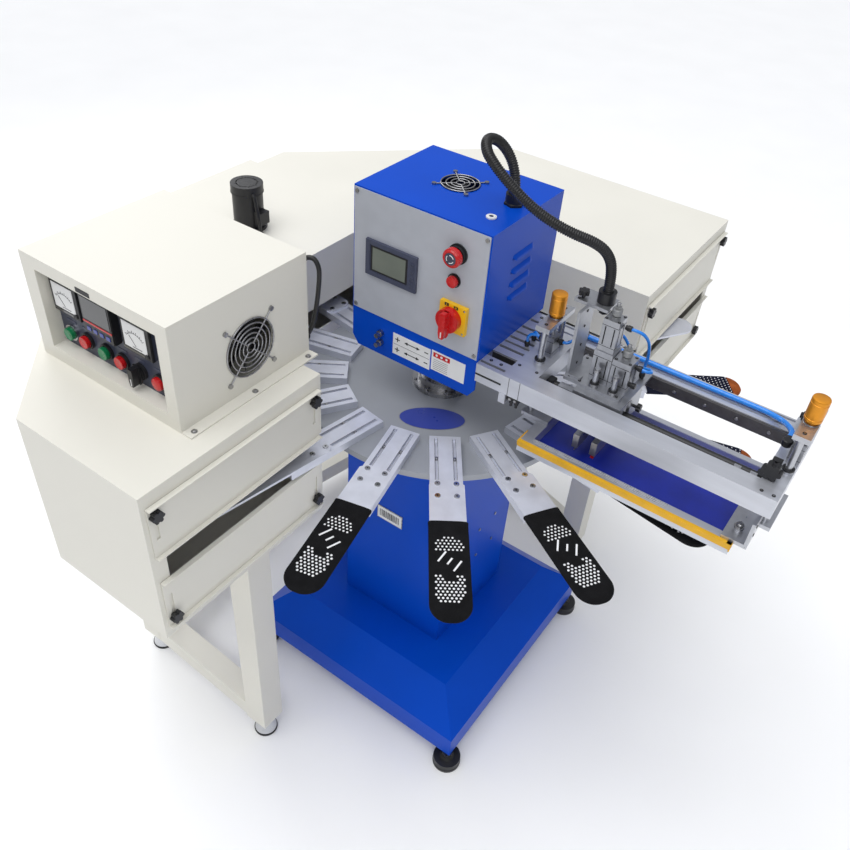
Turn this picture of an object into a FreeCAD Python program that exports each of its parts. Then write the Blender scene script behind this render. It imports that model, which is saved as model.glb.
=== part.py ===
"""Rotary screen printer for socks, with its horseshoe tunnel dryer.

Lengths are in millimetres. The geometry is laid out round the carousel's axis: +X runs along
the print arm, -Y is the side of the operating panel, Z is up from the floor. Every sub-part
then gets one placement, which moves the whole machine so that its footprint is centred.
"""
import FreeCAD
import Part
import math
import os
import re

SIZES = {
    # where the carousel's axis stands in the finished model
    "axis_x": 31.5, "axis_y": -17.5,
    # base and column
    "base_half": 310, "base_low": 50, "skirt_top": 113, "bevel_top": 186, "bevel_half": 234,
    "sheet": 4, "foot_spread": 298, "foot_radius": 33, "foot_tall": 24,
    "stud_radius": 7, "column_half": 144, "column_top": 800, "hub_radius": 92,
    "hub_top": 830, "thrust_top": 833.5, "post_radius": 38,
    # control head
    "head_half_x": 150, "head_half_y": 124, "head_low": 1036, "head_top": 1295, "head_wall": 3,
    "apron_low": 949, "apron_mid": 969, "apron_chamfer": 14, "panel_thick": 2,
    "head_fan_x": -7, "head_fan_y": 10, "head_fan_radius": 38, "vent_pitch": 28,
    "vent_top": 1216, "vent_low": -43, "vent_long": 72, "vent_tall": 3,
    # turntable and stations
    "stations": 16, "first_angle": -54, "table_radius": 301, "table_low": 834,
    "table_top": 848, "bore_radius": 38.6, "arm_in": 205, "arm_out": 438, "arm_wide": 62,
    "arm_tall": 16, "slot_in": 212, "slot_out": 331, "slot_gap": 35.5, "slot_wide": 7,
    "slot_deep": 6, "board_in": 335, "board_tip": 653, "board_half": 33, "board_tall": 5,
    "board_chamfer": 12, "screw_in": 345, "screw_out": 377, "screw_radius": 5.5,
    "sock_in": 441, "sock_gap": 0.5, "sock_wall": 2.5,
    # print arm
    "arm_low": 996, "arm_front": -128, "arm_back": 104, "tube_wide": 38, "tube_wall": 3,
    "beam_end": 205, "gate_in": 262, "gate_end": 682, "arm_end": 722, "rail_front": 60,
    "guide_face": 54, "rail_base": 1010, "lift_near": 238, "lift_far": 711, "lift_y": -8, "rod_gap": 37,
    "rod_radius": 6, "rod_bore": 6.5, "yoke_low": 1109, "yoke_top": 1119, "drive_y": -43,
    "drive_z": 1000, "drive_radius": 7, "tube_radius": 5,
    # screen
    "screen_in": 262, "screen_out": 684, "screen_front": -133, "screen_back": 110, "far_bar": 13,
    "screen_low": 888, "screen_top": 912, "screen_bar": 23, "holder_tall": 8,
    # carriage, squeegee and flood bar
    "plate_low": 1040, "plate_tall": 6, "plate_in": 300, "plate_out": 412, "rear_x": 357,
    "front_x": 394, "cylinder_y": -28, "cylinder_wide": 36, "rear_mid": 1112,
    "rear_top": 1177, "front_top": 1107, "guide_y": -58, "deck_z": 1180, "gland_x": 325,
    "gland_y": -7, "holder_low": 915, "holder_top": 945, "blade_low": 906, "bar_front": -85,
    "bar_long": 150,
    # dryer
    "dryer_low": 700, "dryer_top": 1040, "dryer_sheet": 3, "out_front": 755, "out_left": 790,
    "out_step": 763, "out_back": 790, "cut_front": 338, "cut_left": 303, "cut_step": 235,
    "cut_rise": 330, "cut_back": 330, "in_front": 345, "in_left": 340, "in_back": 310,
    "in_cut_front": 150, "in_cut_left": 150, "in_cut_rise": 120, "in_cut_back": 145,
    "mouth_left": -45, "mouth_right": 303, "band_low": 838, "band_high": 902,
    "strip_side": 27, "strip_low": 45, "strip_high": 55, "shutter_thick": 2,
    "shutter_gap": 0.5, "shutter_lip": 10, "upper_low": 900, "upper_top": 1012,
    "lower_low": 724, "lower_top": 840, "upper_knob": 993, "lower_knob": 746,
    "back_upper_low": 876, "back_lower_low": 705, "back_lower_top": 828, "back_lower_knob": 727,
    "knob_inset": 19, "guide_long": 60, "leg_wide": 60, "leg_low": 58, "rail_low": 58,
    "rail_tall": 50, "case_in": -107, "case_out": -460, "case_front": -612,
    "case_back": -305, "case_top": 1245, "case_wall": 3, "window_in": -134,
    "window_out": -426, "window_low": 1068, "window_top": 1220, "window_deep": 30,
    "case_fan_y": -449, "case_fan_z": 1125, "case_fan_radius": 54, "button_row": 1097, "selector_x": -222,
    "lamp_x": -175, "motor_x": -535, "motor_y": -25, "motor_radius": 34,
    # hose
    "hose_radius": 9.5, "hose_fit": 0.4,
    # push buttons
    "button_stem": 9, "button_bore": 9.5,
}

BUTTONS = {"green_button_left": -397, "red_button_left": -357,
           "green_button_right": -307, "red_button_right": -266}

# stations whose board carries a sock; the other boards are bare
DRESSED = (0, 1, 2, 3, 4, 15)

doc = FreeCAD.newDocument("sock_printer")
sheet = doc.addObject("Spreadsheet::Sheet", "Sizes")
for row, (alias, value) in enumerate(SIZES.items(), start=1):
    sheet.set(f"A{row}", alias)
    sheet.set(f"B{row}", str(value))
    sheet.setAlias(f"B{row}", alias)
doc.recompute()

WORD = re.compile(r"[a-z][a-z_0-9]*")
AXES = {
    "z": FreeCAD.Rotation(),
    "x": FreeCAD.Rotation(FreeCAD.Vector(0, 1, 0), 90),
    "y": FreeCAD.Rotation(FreeCAD.Vector(1, 0, 0), -90),
    "-y": FreeCAD.Rotation(FreeCAD.Vector(1, 0, 0), 90),
}
SUB_PARTS = []


def size(alias):
    """One cell of the sheet, as a number."""
    return float(getattr(sheet, alias))


def linked(text):
    """The expression with each alias turned into a reference to its cell."""
    def cell(match):
        word = match.group(0)
        return "Sizes." + word if word in SIZES else word
    return WORD.sub(cell, str(text))


def primitive(kind, sizes, place, turn):
    """A Part primitive with its sizes and its position bound to the sheet."""
    solid = doc.addObject("Part::" + kind, kind)
    solid.Placement = FreeCAD.Placement(FreeCAD.Vector(), turn)
    for name, text in sizes.items():
        solid.setExpression(name, linked(text))
    for axis, text in zip("xyz", place):
        solid.setExpression("Placement.Base." + axis, linked(text))
    return solid


def box(low, spans):
    """A block from its low corner and its three lengths."""
    sizes = dict(zip(("Length", "Width", "Height"), spans))
    return primitive("Box", sizes, low, FreeCAD.Rotation())


def between(x_range, y_range, z_range):
    """A block from its two limits on each axis."""
    low = [pair[0] for pair in (x_range, y_range, z_range)]
    spans = [f"({pair[1]}) - ({pair[0]})" for pair in (x_range, y_range, z_range)]
    return box(low, spans)


def rod(place, radius, length, along="z"):
    """A cylinder that starts at a point and runs along an axis."""
    return primitive("Cylinder", {"Radius": radius, "Height": length}, place, AXES[along])


def cone(place, radius, end_radius, length, along="z"):
    sizes = {"Radius1": radius, "Radius2": end_radius, "Height": length}
    return primitive("Cone", sizes, place, AXES[along])


def ring(place, radius, wire, along="z"):
    return primitive("Torus", {"Radius1": radius, "Radius2": wire}, place, AXES[along])


def fused(pieces):
    joined = doc.addObject("Part::MultiFuse", "Fusion")
    joined.Shapes = pieces
    return joined


def grouped(pieces):
    """Separate solids that belong together."""
    group = doc.addObject("Part::Compound", "Group")
    group.Links = pieces
    return group


def cut(base, tools):
    """The base with every tool taken away."""
    result = doc.addObject("Part::Cut", "Cut")
    result.Base = base
    result.Tool = tools[0] if len(tools) == 1 else grouped(tools)
    return result


def turned(solid, angle):
    """The solid turned about the carousel's axis by an expression in degrees."""
    group = grouped([solid])
    group.Placement = FreeCAD.Placement(FreeCAD.Vector(), FreeCAD.Rotation(FreeCAD.Vector(0, 0, 1), 1))
    group.setExpression("Placement.Rotation.Angle", linked(angle))
    return group


def prism(points, low, high):
    """A flat outline carried up from low to high; the outline is worked out from the sheet."""
    corners = [FreeCAD.Vector(x, y, low) for x, y in points]
    outline = Part.makePolygon(corners + corners[:1])
    solid = doc.addObject("Part::Feature", "Prism")
    solid.Shape = Part.Face(outline).extrude(FreeCAD.Vector(0, 0, high - low))
    return solid


def sub_part(label, pieces):
    """Names a sub-part and moves it to its place in the finished model."""
    group = grouped(pieces)
    group.Label = label
    group.setExpression("Placement.Base.x", "Sizes.axis_x")
    group.setExpression("Placement.Base.y", "Sizes.axis_y")
    SUB_PARTS.append(group)


def star_knob(place, along, radius=15, thick=12, stem=8):
    """A lobed clamp knob on its stud; the stud starts at the given point."""
    x, y, z = place
    sign = -1 if along == "-y" else 1
    shift = {"x": (1, 0, 0), "-y": (0, 1, 0), "y": (0, 1, 0), "z": (0, 0, 1)}[along]
    grip = [f"({p}) + {sign * stem * s}" for p, s in zip(place, shift)]
    pieces = [rod((x, y, z), 3, stem, along), rod(grip, radius * 0.72, thick, along)]
    for lobe in range(6):
        turn = math.radians(60 * lobe)
        across = (math.cos(turn) * radius * 0.7, math.sin(turn) * radius * 0.7)
        offset = {"x": (0, *across), "z": (*across, 0)}.get(along, (across[0], 0, across[1]))
        centre = [f"({g}) + {o:.3f}" for g, o in zip(grip, offset)]
        pieces.append(rod(centre, radius * 0.3, thick, along))
    return fused(pieces)


# ---------------------------------------------------------------- base, column and post

def frustum(half, top_half, low, high):
    """A square block that narrows from one half width to another."""
    solid = doc.addObject("Part::Wedge", "Frustum")
    solid.Placement = FreeCAD.Placement(FreeCAD.Vector(), AXES["-y"])
    spans = {"Xmin": f"-({half})", "Xmax": half, "Zmin": f"-({half})", "Zmax": half,
             "X2min": f"-({top_half})", "X2max": top_half, "Z2min": f"-({top_half})",
             "Z2max": top_half, "Ymin": low, "Ymax": high}
    for name, text in spans.items():
        solid.setExpression(name, linked(text))
    return solid


def base_plinth():
    outside = fused([
        between(("-base_half", "base_half"), ("-base_half", "base_half"), ("base_low", "skirt_top")),
        frustum("base_half", "bevel_half", "skirt_top", "bevel_top")])
    inner = ("sheet - base_half", "base_half - sheet")
    inside = fused([
        between(inner, inner, ("base_low + sheet", "skirt_top")),
        frustum("base_half - sheet", "bevel_half - sheet", "skirt_top", "bevel_top - sheet")])
    sub_part("base_plinth", [cut(outside, [inside])])


def base_feet():
    pieces = []
    for x in ("-foot_spread", "foot_spread"):
        for y in ("-foot_spread", "foot_spread"):
            disc = rod((x, y, 0), "foot_radius", "foot_tall")
            collar = cone((x, y, "foot_tall"), 18, 11, 8)
            stud = rod((x, y, "foot_tall + 8"), "stud_radius", "base_low - foot_tall - 8")
            pieces.append(fused([disc, collar, stud]))
    sub_part("base_feet", pieces)


def column():
    half = ("-column_half", "column_half")
    inner = ("sheet - column_half", "column_half - sheet")
    tube = cut(between(half, half, ("bevel_top", "column_top")),
               [between(inner, inner, ("bevel_top - 1", "column_top - sheet"))])
    sub_part("column", [tube])


def centre_post():
    """Index housing on the column, and the fixed post that carries the head."""
    housing = rod((0, 0, "column_top"), "hub_radius", "hub_top - column_top")
    washer = rod((0, 0, "hub_top"), 62, "thrust_top - hub_top")
    post = rod((0, 0, "thrust_top"), "post_radius", "arm_low - thrust_top")
    sub_part("centre_post", [housing, washer, post])


def trim_screws():
    """Panel and cover screws, button collars, tube fittings and a blank rating plate."""
    pieces = []
    for x in ("-head_half_x + 9", "head_half_x - 9"):
        for z in ("head_low + 11", "head_top - 10"):
            pieces.append(rod((x, "-head_half_y - panel_thick", z), 4, 2, "-y"))
    for z in (1002, 980):
        nut = rod((-77, "-head_half_y", z), 7, 8, "-y")
        sleeve = rod((-77, "-head_half_y - 8", z), 5, 10, "-y")
        pieces.append(fused([nut, sleeve]))
    for y in (-70, 0, 70):
        for z in (380, 470):
            pieces.append(rod(("column_half", y, z), 4, 2, "x"))
    pieces.append(between((-54, 18), ("-column_half - 1", "-column_half"), (505, 545)))
    face = "-head_half_y - panel_thick"
    for x, z, radius, tall in ((86, 1240, 15, 8), (83, 1186, 11.5, 3)):
        bore = rod((x, f"{face} + 1", z), "button_bore", 12, "-y")
        pieces.append(cut(rod((x, face, z), radius, tall, "-y"), [bore]))
    sub_part("trim_screws", pieces)


# ---------------------------------------------------------------- control head

def head_box():
    wall_x = ("-head_half_x", "head_half_x")
    wall_y = ("-head_half_y", "head_half_y")
    inner_x = ("head_wall - head_half_x", "head_half_x - head_wall")
    inner_y = ("head_wall - head_half_y", "head_half_y - head_wall")
    tools = [between(inner_x, inner_y, ("head_low + head_wall", "head_top - head_wall"))]
    tools.append(between(("12 - head_half_x", "head_half_x - 12"),
                         ("-head_half_y - 1", "-head_half_y + 5"), ("head_low + 14", "head_top - 14")))
    tools.append(rod(("head_fan_x", "head_fan_y", "head_top - 5"), "head_fan_radius", 10))
    for step in range(4):
        low = ("head_half_x - 5", "vent_low", f"vent_top - {step}*vent_pitch")
        tools.append(box(low, (10, "vent_long", "vent_tall")))
    body = cut(between(wall_x, wall_y, ("head_low", "head_top")), tools)
    apron_y = ("-head_half_y", "-head_half_y + head_wall")
    skirt = between(wall_x, apron_y, ("apron_mid", "head_low"))
    edge = doc.addObject("Part::Wedge", "Apron")
    edge.Placement = FreeCAD.Placement(FreeCAD.Vector(), AXES["-y"])
    spans = {"Xmin": "apron_chamfer - head_half_x", "Xmax": "head_half_x - apron_chamfer",
             "X2min": "-head_half_x", "X2max": "head_half_x", "Ymin": "apron_low", "Ymax": "apron_mid",
             "Zmin": "head_half_y - head_wall", "Zmax": "head_half_y",
             "Z2min": "head_half_y - head_wall", "Z2max": "head_half_y"}
    for name, text in spans.items():
        edge.setExpression(name, linked(text))
    sub_part("head_box", [fused([body, skirt, edge])])


def head_panel():
    plate = between(("3 - head_half_x", "head_half_x - 3"),
                    ("-head_half_y - panel_thick", "-head_half_y"), ("head_low + 3", "head_top - 3"))
    holes = [rod((x, "-head_half_y + 1", z), 11, "panel_thick + 2", "-y")
             for x, z in ((86, 1240), (83, 1186), (88, 1112))]
    sub_part("head_panel", [cut(plate, holes)])


def hmi():
    """Touch screen unit: a bezel with its display recess and four small membrane keys."""
    front = "-head_half_y - panel_thick"
    bezel = between((-115, 3), (f"{front} - 6", front), (1127, 1201))
    recess = between((-105, -16), (f"{front} - 7", f"{front} - 4.5"), (1136, 1192))
    keys = [between((-11, -2), (f"{front} - 7", f"{front} - 6"), (z, z + 9))
            for z in (1137, 1151, 1165, 1179)]
    sub_part("hmi_unit", [cut(bezel, [recess])] + keys)


def push_button(label, place, radius, cap_thick, dome=0):
    """A cap on a stem that passes through its panel, facing -Y; a dome rounds off a large cap."""
    x, y, z = place
    pieces = [rod(place, "button_stem", 12, "y"), rod(place, radius, cap_thick, "-y")]
    if dome:
        pieces.append(cone((x, f"{y} - {cap_thick}", z), radius, radius * 0.8, dome, "-y"))
    sub_part(label, [fused(pieces)])


def head_controls():
    face = "-head_half_y - panel_thick"
    push_button("estop_button", (86, f"{face} - 14", 1240), 18, 8, 4)
    push_button("start_button", (83, f"{face} - 5.5", 1186), 11, 5)
    plate = between((62, 120), (f"{face} - 9", face), (1084, 1142))
    shaft_hole = rod((88, f"{face} + 1", 1112), 9.5, 12, "-y")
    sub_part("isolator_plate", [cut(plate, [shaft_hole])])
    dial = rod((88, f"{face} - 9.5", 1112), 24, 14, "-y")
    grip = between((83, 93), (f"{face} - 38", f"{face} - 23.5"), (1086, 1134))
    shaft = rod((88, f"{face} - 9.5", 1112), 9, 14, "y")
    sub_part("isolator_handle", [fused([dial, grip, shaft])])


def guard(centre, along, radii, wire, reach):
    """Round wire guard: rings and four radial wires that end in screwed eyes, in one flat layer."""
    x, y, z = centre
    pieces = [ring(centre, radius, wire, along) for radius in radii]
    for quarter in range(4):
        turn = math.radians(45 + 90 * quarter)
        spoke = doc.addObject("Part::Cylinder", "Spoke")
        inward = radii[0]
        cos, sin = math.cos(turn), math.sin(turn)
        heading = FreeCAD.Vector(cos, sin, 0) if along == "z" else FreeCAD.Vector(0, cos, sin)
        turn_out = FreeCAD.Rotation(FreeCAD.Vector(0, 0, 1), heading)
        spoke.Placement = FreeCAD.Placement(FreeCAD.Vector(), turn_out)
        spoke.Radius = wire
        spoke.Height = reach - inward
        for axis, text, step in zip("xyz", (x, y, z), heading * inward):
            spoke.setExpression("Placement.Base." + axis, linked(f"({text}) + {step:.4f}"))
        pieces.append(spoke)
        eye = [f"({text}) + {step:.4f}" for text, step in zip(centre, heading * reach)]
        depth = {"z": 2, "x": 0}[along]
        eye[depth] = f"{eye[depth]} - 1.6"
        pieces.append(rod(eye, 4.5, 3.6, along))
    return fused(pieces)


def fans():
    """Wire guards on the head and on the dryer's case, and the two fan rotors behind them."""
    head_guard = guard(("head_fan_x", "head_fan_y", "head_top + 1.6"), "z", (8, 17.5, 27, 36.5), 1.4, 50)
    case_guard = guard(("case_in + 1.6", "case_fan_y", "case_fan_z"), "x", (9, 18, 27, 36, 45, 54), 1.4, 74)
    sub_part("fan_guards", [head_guard, case_guard])
    for label, x, y, z, along, reach in (
            ("head_fan_rotor", "head_fan_x", "head_fan_y", "head_top - 24", "z", 34),
            ("case_fan_rotor", "case_in - 26", "case_fan_y", "case_fan_z", "x", 50)):
        hub = rod((x, y, z), 11, 18, along)
        blades = []
        for blade in range(7):
            vane = doc.addObject("Part::Box", "Blade")
            vane.Length = reach - 9
            vane.Width = 2
            vane.Height = 16
            turn = FreeCAD.Rotation(AXES[along].multVec(FreeCAD.Vector(0, 0, 1)), blade * 360 / 7)
            pitch = FreeCAD.Rotation(FreeCAD.Vector(1, 0, 0), 35)
            rotation = turn.multiply(AXES[along]).multiply(pitch)
            start = turn.multVec(AXES[along].multVec(FreeCAD.Vector(9, 4, 2)))
            vane.Placement = FreeCAD.Placement(FreeCAD.Vector(), rotation)
            for axis, text, step in zip("xyz", (x, y, z), start):
                vane.setExpression("Placement.Base." + axis, linked(f"({text}) + {step:.4f}"))
            blades.append(vane)
        sub_part(label, [fused([hub] + blades)])


def head_fittings():
    """Hose gland and blanked cable hole on the head's roof."""
    bore = rod((111, 6, "head_top - 1"), "hose_radius + hose_fit", 20)
    gland = cut(rod((111, 6, "head_top"), 16, 14), [bore])
    grommet = cut(rod((109, -67, "head_top"), 9, 2), [rod((109, -67, "head_top - 1"), 4, 4)])
    sub_part("head_gland", [gland, grommet])


# ---------------------------------------------------------------- turntable and stations

def turntable():
    disc = cut(rod((0, 0, "table_low"), "table_radius", "table_top - table_low"),
               [rod((0, 0, "table_low - 1"), "bore_radius", 30)])
    sub_part("turntable", [disc])
    steps = fused([rod((0, 0, "table_top"), 65, 9), rod((0, 0, "table_top + 9"), 53, 17),
                   rod((0, 0, "table_top + 26"), 46, 12)])
    flange = cut(steps, [rod((0, 0, "table_top - 1"), "bore_radius", 60)])
    screws = []
    for step in range(8):
        turn = math.radians(45 * step)
        screws.append(rod((59 * math.cos(turn), 59 * math.sin(turn), "table_top + 9"), 3.5, 3))
    sub_part("spindle_flange", [flange] + screws)


def stations():
    """Slotted arms, sock boards, their screws and the socks on the boards that are dressed."""
    arms, boards, screws, socks = [], [], [], []
    for station in range(int(size("stations"))):
        angle = f"first_angle + {station}*360/stations"
        arm = box(("arm_in", "-arm_wide/2", "table_top"), ("arm_out - arm_in", "arm_wide", "arm_tall"))
        grooves = [box(("slot_in", f"{side}*slot_gap/2 - slot_wide/2", "table_top + arm_tall - slot_deep"),
                       ("slot_out - slot_in", "slot_wide", "slot_deep + 1")) for side in (-1, 1)]
        arms.append(turned(cut(arm, grooves), angle))

        board_low = "table_top + arm_tall"
        nose = doc.addObject("Part::Wedge", "Nose")
        nose.Placement = FreeCAD.Placement(FreeCAD.Vector(), FreeCAD.Rotation(FreeCAD.Vector(0, 0, 1), -90))
        spans = {"Xmin": "board_chamfer - board_half", "Xmax": "board_half - board_chamfer",
                 "X2min": "-board_half", "X2max": "board_half", "Ymin": 0, "Ymax": "board_chamfer",
                 "Zmin": 0, "Zmax": "board_tall", "Z2min": 0, "Z2max": "board_tall"}
        for name, text in spans.items():
            nose.setExpression(name, linked(text))
        nose.setExpression("Placement.Base.x", linked("board_in"))
        nose.setExpression("Placement.Base.z", linked(board_low))
        middle = between(("board_in + board_chamfer", "board_tip - board_half"),
                         ("-board_half", "board_half"), (board_low, f"{board_low} + board_tall"))
        end = rod(("board_tip - board_half", 0, board_low), "board_half", "board_tall")
        boards.append(turned(fused([nose, middle, end]), angle))

        heads = []
        for side in (-1, 1):
            y = f"{side}*slot_gap/2"
            for x in ("screw_in", "screw_out"):
                heads.append(rod((x, y, f"{board_low} + board_tall"), "screw_radius", 0.8))
            heads.append(rod((268, y, f"{board_low} - slot_deep"), 3.2, "slot_deep - 1"))
        screws.append(turned(grouped(heads), angle))

        if station not in DRESSED:
            continue
        skins = []
        for margin in ("sock_gap + sock_wall", "sock_gap"):
            half = f"(board_half + {margin})"
            low = f"{board_low} - ({margin})"
            tall = f"board_tall + 2*({margin})"
            start = "sock_in" if margin != "sock_gap" else "sock_in - 1"
            flat = box((start, f"-{half}", low), (f"board_tip - board_half - ({start})", f"2*{half}", tall))
            skins.append(fused([flat, rod(("board_tip - board_half", 0, low), half, tall)]))
        socks.append(turned(cut(skins[0], [skins[1]]), angle))
    sub_part("station_arms", arms)
    sub_part("sock_boards", boards)
    sub_part("station_screws", screws)
    sub_part("socks", socks)


# ---------------------------------------------------------------- print arm

# Front edge, width and depth of each groove along the beam's upper side.
BEAM_GROOVES = [(-118, 6, 9), (-91, 21, 30), (-51, 7, 9), (-30, 6, 9), (-11, 7, 9), (12, 6, 9),
                (35, 7, 9), (67, 7, 9)]


def arm_beam():
    """Slotted block beside the head and the spine that bolts it to the post."""
    block = between(("head_half_x", "beam_end"), ("arm_front", "arm_back"), ("arm_low", "head_low"))
    length = "beam_end - head_half_x + 2"
    grooves = [box(("head_half_x - 1", front, f"head_low - {deep}"), (length, wide, deep + 1))
               for front, wide, deep in BEAM_GROOVES]
    spine = between((-60, "head_half_x"), (-60, 60), ("arm_low", "head_low"))
    sub_part("arm_beam", [cut(block, grooves), spine])


def arm_frame():
    """Front tube, near crossbeam, far rail and end crossbeam, bolted into one frame."""
    length, height = ("beam_end", "gate_end"), ("arm_low", "head_low")
    core_y = ("arm_front + tube_wall", "arm_front + tube_wide - tube_wall")
    core = between(("beam_end - 1", "gate_end + 1"), core_y, ("arm_low + tube_wall", "head_low - tube_wall"))
    tube = cut(between(length, ("arm_front", "arm_front + tube_wide"), height), [core])
    bores = {x: [rod((x, f"lift_y + {side}*rod_gap", "arm_low - 1"), "rod_bore", 60) for side in (-1, 1)]
             for x in ("lift_near", "lift_far")}
    near = between(("beam_end", "gate_in"), ("arm_front + tube_wide", "rail_front"), height)
    grooves = [box(("beam_end - 1", f"rail_front + {offset}", "head_low - 6"),
                   ("gate_end - beam_end + 2", 6, 7)) for offset in (12, 34)]
    rail = cut(between(length, ("rail_front", "arm_back"), ("rail_base", "head_low")), grooves)
    end = between(("gate_end", "arm_end"), ("arm_front", "arm_back + 12"), height)
    sub_part("arm_frame", [tube, cut(near, bores["lift_near"]), rail, cut(end, bores["lift_far"])])


def linear_guide():
    """Guide rail on the inner face of the far rail, with its screw holes, and a narrow near guide."""
    rail = between(("gate_in", "gate_end"), ("guide_face", "rail_front"), ("rail_base", 1034))
    holes = [rod((f"gate_in + 30 + {step}*60", "guide_face - 1", 1022), 4.5, 5, "y") for step in range(7)]
    inner_face = "arm_front + tube_wide"
    near = between(("gate_in", "gate_end"), (inner_face, f"{inner_face} + 4"), (1012, 1024))
    sub_part("linear_guides", [cut(rail, holes), near])


def arm_actuators():
    """Lift cylinders, rod bushes, rodless drive tube and the position sensors' brackets."""
    pieces = []
    for x in ("lift_near", "lift_far"):
        body = box((f"{x} - 11", "lift_y - 15", "head_low"), (22, 30, 44))
        pieces.append(cut(body, [rod((x, "lift_y", "head_low + 2"), 5.4, 60)]))
        for side in (-1, 1):
            y = f"lift_y + {side}*rod_gap"
            pieces.append(cut(rod((x, y, "head_low"), 10, 5), [rod((x, y, "head_low - 1"), "rod_bore", 8)]))
    drive = rod(("gate_in", "drive_y", "drive_z"), "drive_radius", "gate_end - gate_in", "x")
    pieces.append(drive)
    clips = []
    for x in (632, 660):
        foot = box((x, "drive_y - drive_radius - 12", "drive_z - 3"), (12, 12.5, 3))
        arm = box((x, "drive_y - drive_radius - 12", "drive_z"), (12, 3, 18))
        groove = rod(("gate_in", "drive_y", "drive_z"), "drive_radius", 420, "x")
        clips.append(cut(fused([foot, arm]), [groove]))
    sub_part("arm_actuators", pieces + clips)


def lift_yokes():
    """Each end of the screen hangs on a plate, two guide rods, a piston rod and a holder.

    The far holder has an angle bolted to it, which reaches round to the screen's front corner.
    """
    pieces = []
    for x, low_x, high_x in (("lift_near", 226, 285), ("lift_far", 662, 726)):
        plate = box((f"{x} - 14", "lift_y - 50", "yoke_low"), (28, 100, "yoke_top - yoke_low"))
        holder = between((low_x, high_x), (-60, 44), ("screen_top", "screen_top + holder_tall"))
        shafts = [rod((x, f"lift_y + {side}*rod_gap", "screen_top + holder_tall"), "rod_radius",
                      "yoke_low - screen_top - holder_tall") for side in (-1, 1)]
        piston = rod((x, "lift_y", "yoke_low - 53"), 5, 53)
        pieces.append(fused([plate, holder, piston] + shafts))
    pieces.append(fused([
        between((662, 708), (-127, -60), ("screen_top", "screen_top + holder_tall")),
        between((702, 708), (-127, -60), ("screen_top", 970)),
        rod((682, -98, "screen_top + holder_tall"), 8, 6)]))
    sub_part("lift_yokes", pieces)


def height_knobs():
    for label, x in (("height_knob_near", "lift_near"), ("height_knob_far", "lift_far")):
        neck = rod((x, "lift_y", "yoke_top"), 10, 5)
        grip = rod((x, "lift_y", "yoke_top + 5"), 15, 45)
        sub_part(label, [fused([neck, grip])])


def clamp_knobs():
    """Star knobs of the arm and of the dryer's shutters, and the air tube's two fittings."""
    pieces = []
    bracket = between((684, 700), (-66, -54), ("head_low", "head_low + 26"))
    pieces.append(fused([bracket, star_knob((692, -66, "head_low + 16"), "-y", 17, 14, 8)]))
    pieces.append(star_knob((694, 102, "head_low"), "z", 10, 10, 10))
    barrel = rod((690, -10, 1064), 6.5, 14, "y")
    pieces.append(fused([barrel, rod((690, -5, 1064), 4, "lift_far - 11 - 690", "x")]))
    pieces.append(rod(("gate_in", 84, "head_low + 5.5"), 5.5, 13, "x"))
    for face, low_y, high_y, low_knob in (
            ("mouth_left", "-out_front + 3", "-in_front - 3", "lower_knob"),
            ("mouth_right", "in_back + 3", "out_back - 3", "back_lower_knob")):
        for y in (f"{low_y} + knob_inset", f"{high_y} - knob_inset"):
            for z in ("upper_knob", low_knob):
                pieces.append(star_knob((face, y, z), "x", 12, 10, 4))
    sub_part("knobs_and_fittings", pieces)


def tube_along(label, route, radius):
    """A round tube along straight runs joined by tangent arcs; prints its bends and length."""
    points = [FreeCAD.Vector(*point) for point in route]
    edges = []
    start = points[0]
    bends = []
    for before, corner, after in zip(points, points[1:], points[2:]):
        back, ahead = before - corner, after - corner
        shorter = min(back.Length, ahead.Length)
        half_turn = (math.pi - back.getAngle(ahead)) / 2
        bend = 0.45 * shorter / math.tan(half_turn)
        bends.append(round(bend))
        reach = bend * math.tan(half_turn)
        back.normalize()
        ahead.normalize()
        enter, leave = corner + back * reach, corner + ahead * reach
        inward = (back + ahead).normalize()
        middle = corner + inward * (bend / math.cos(half_turn) - bend)
        edges.append(Part.LineSegment(start, enter).toShape())
        edges.append(Part.Arc(enter, middle, leave).toShape())
        start = leave
    edges.append(Part.LineSegment(start, points[-1]).toShape())
    path = Part.Wire(edges)
    section = Part.Wire(Part.Circle(points[0], points[1] - points[0], radius).toShape())
    tube = doc.addObject("Part::Feature", "Tube")
    tube.Shape = path.makePipeShell([section], True, False)
    ratio = tube.Shape.Volume / (math.pi * radius ** 2 * path.Length)
    print(label, "length", round(path.Length), "bend radii", bends, "volume ratio", round(ratio, 3))
    sub_part(label, [tube])


HOSE_ROUTE = [
    (111, 6, 1295.3), (111, 6, 1321), (103, 8, 1354), (90, 4, 1383), (76, -15, 1409), (74, -53, 1422),
    (92, -81, 1413), (119, -90, 1397), (147, -91, 1378), (177, -89, 1359), (208, -84, 1342),
    (239, -75, 1328), (267, -61, 1316), (292, -42, 1305), (310, -25, 1289), (321, -14, 1266),
    (324, -9, 1240), (325, -7, 1214), (325, -7, 1190.3),
]

AIR_ROUTE = [
    (275, 84, 1041.5), (632, 84, 1041.5), (664, 71, 1046), (681, 46, 1056), (690, 22, 1064),
    (690, 4, 1064),
]


def tubes():
    tube_along("hose", HOSE_ROUTE, size("hose_radius"))
    tube_along("air_tube", AIR_ROUTE, size("tube_radius"))


# ---------------------------------------------------------------- screen, carriage, squeegee

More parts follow.
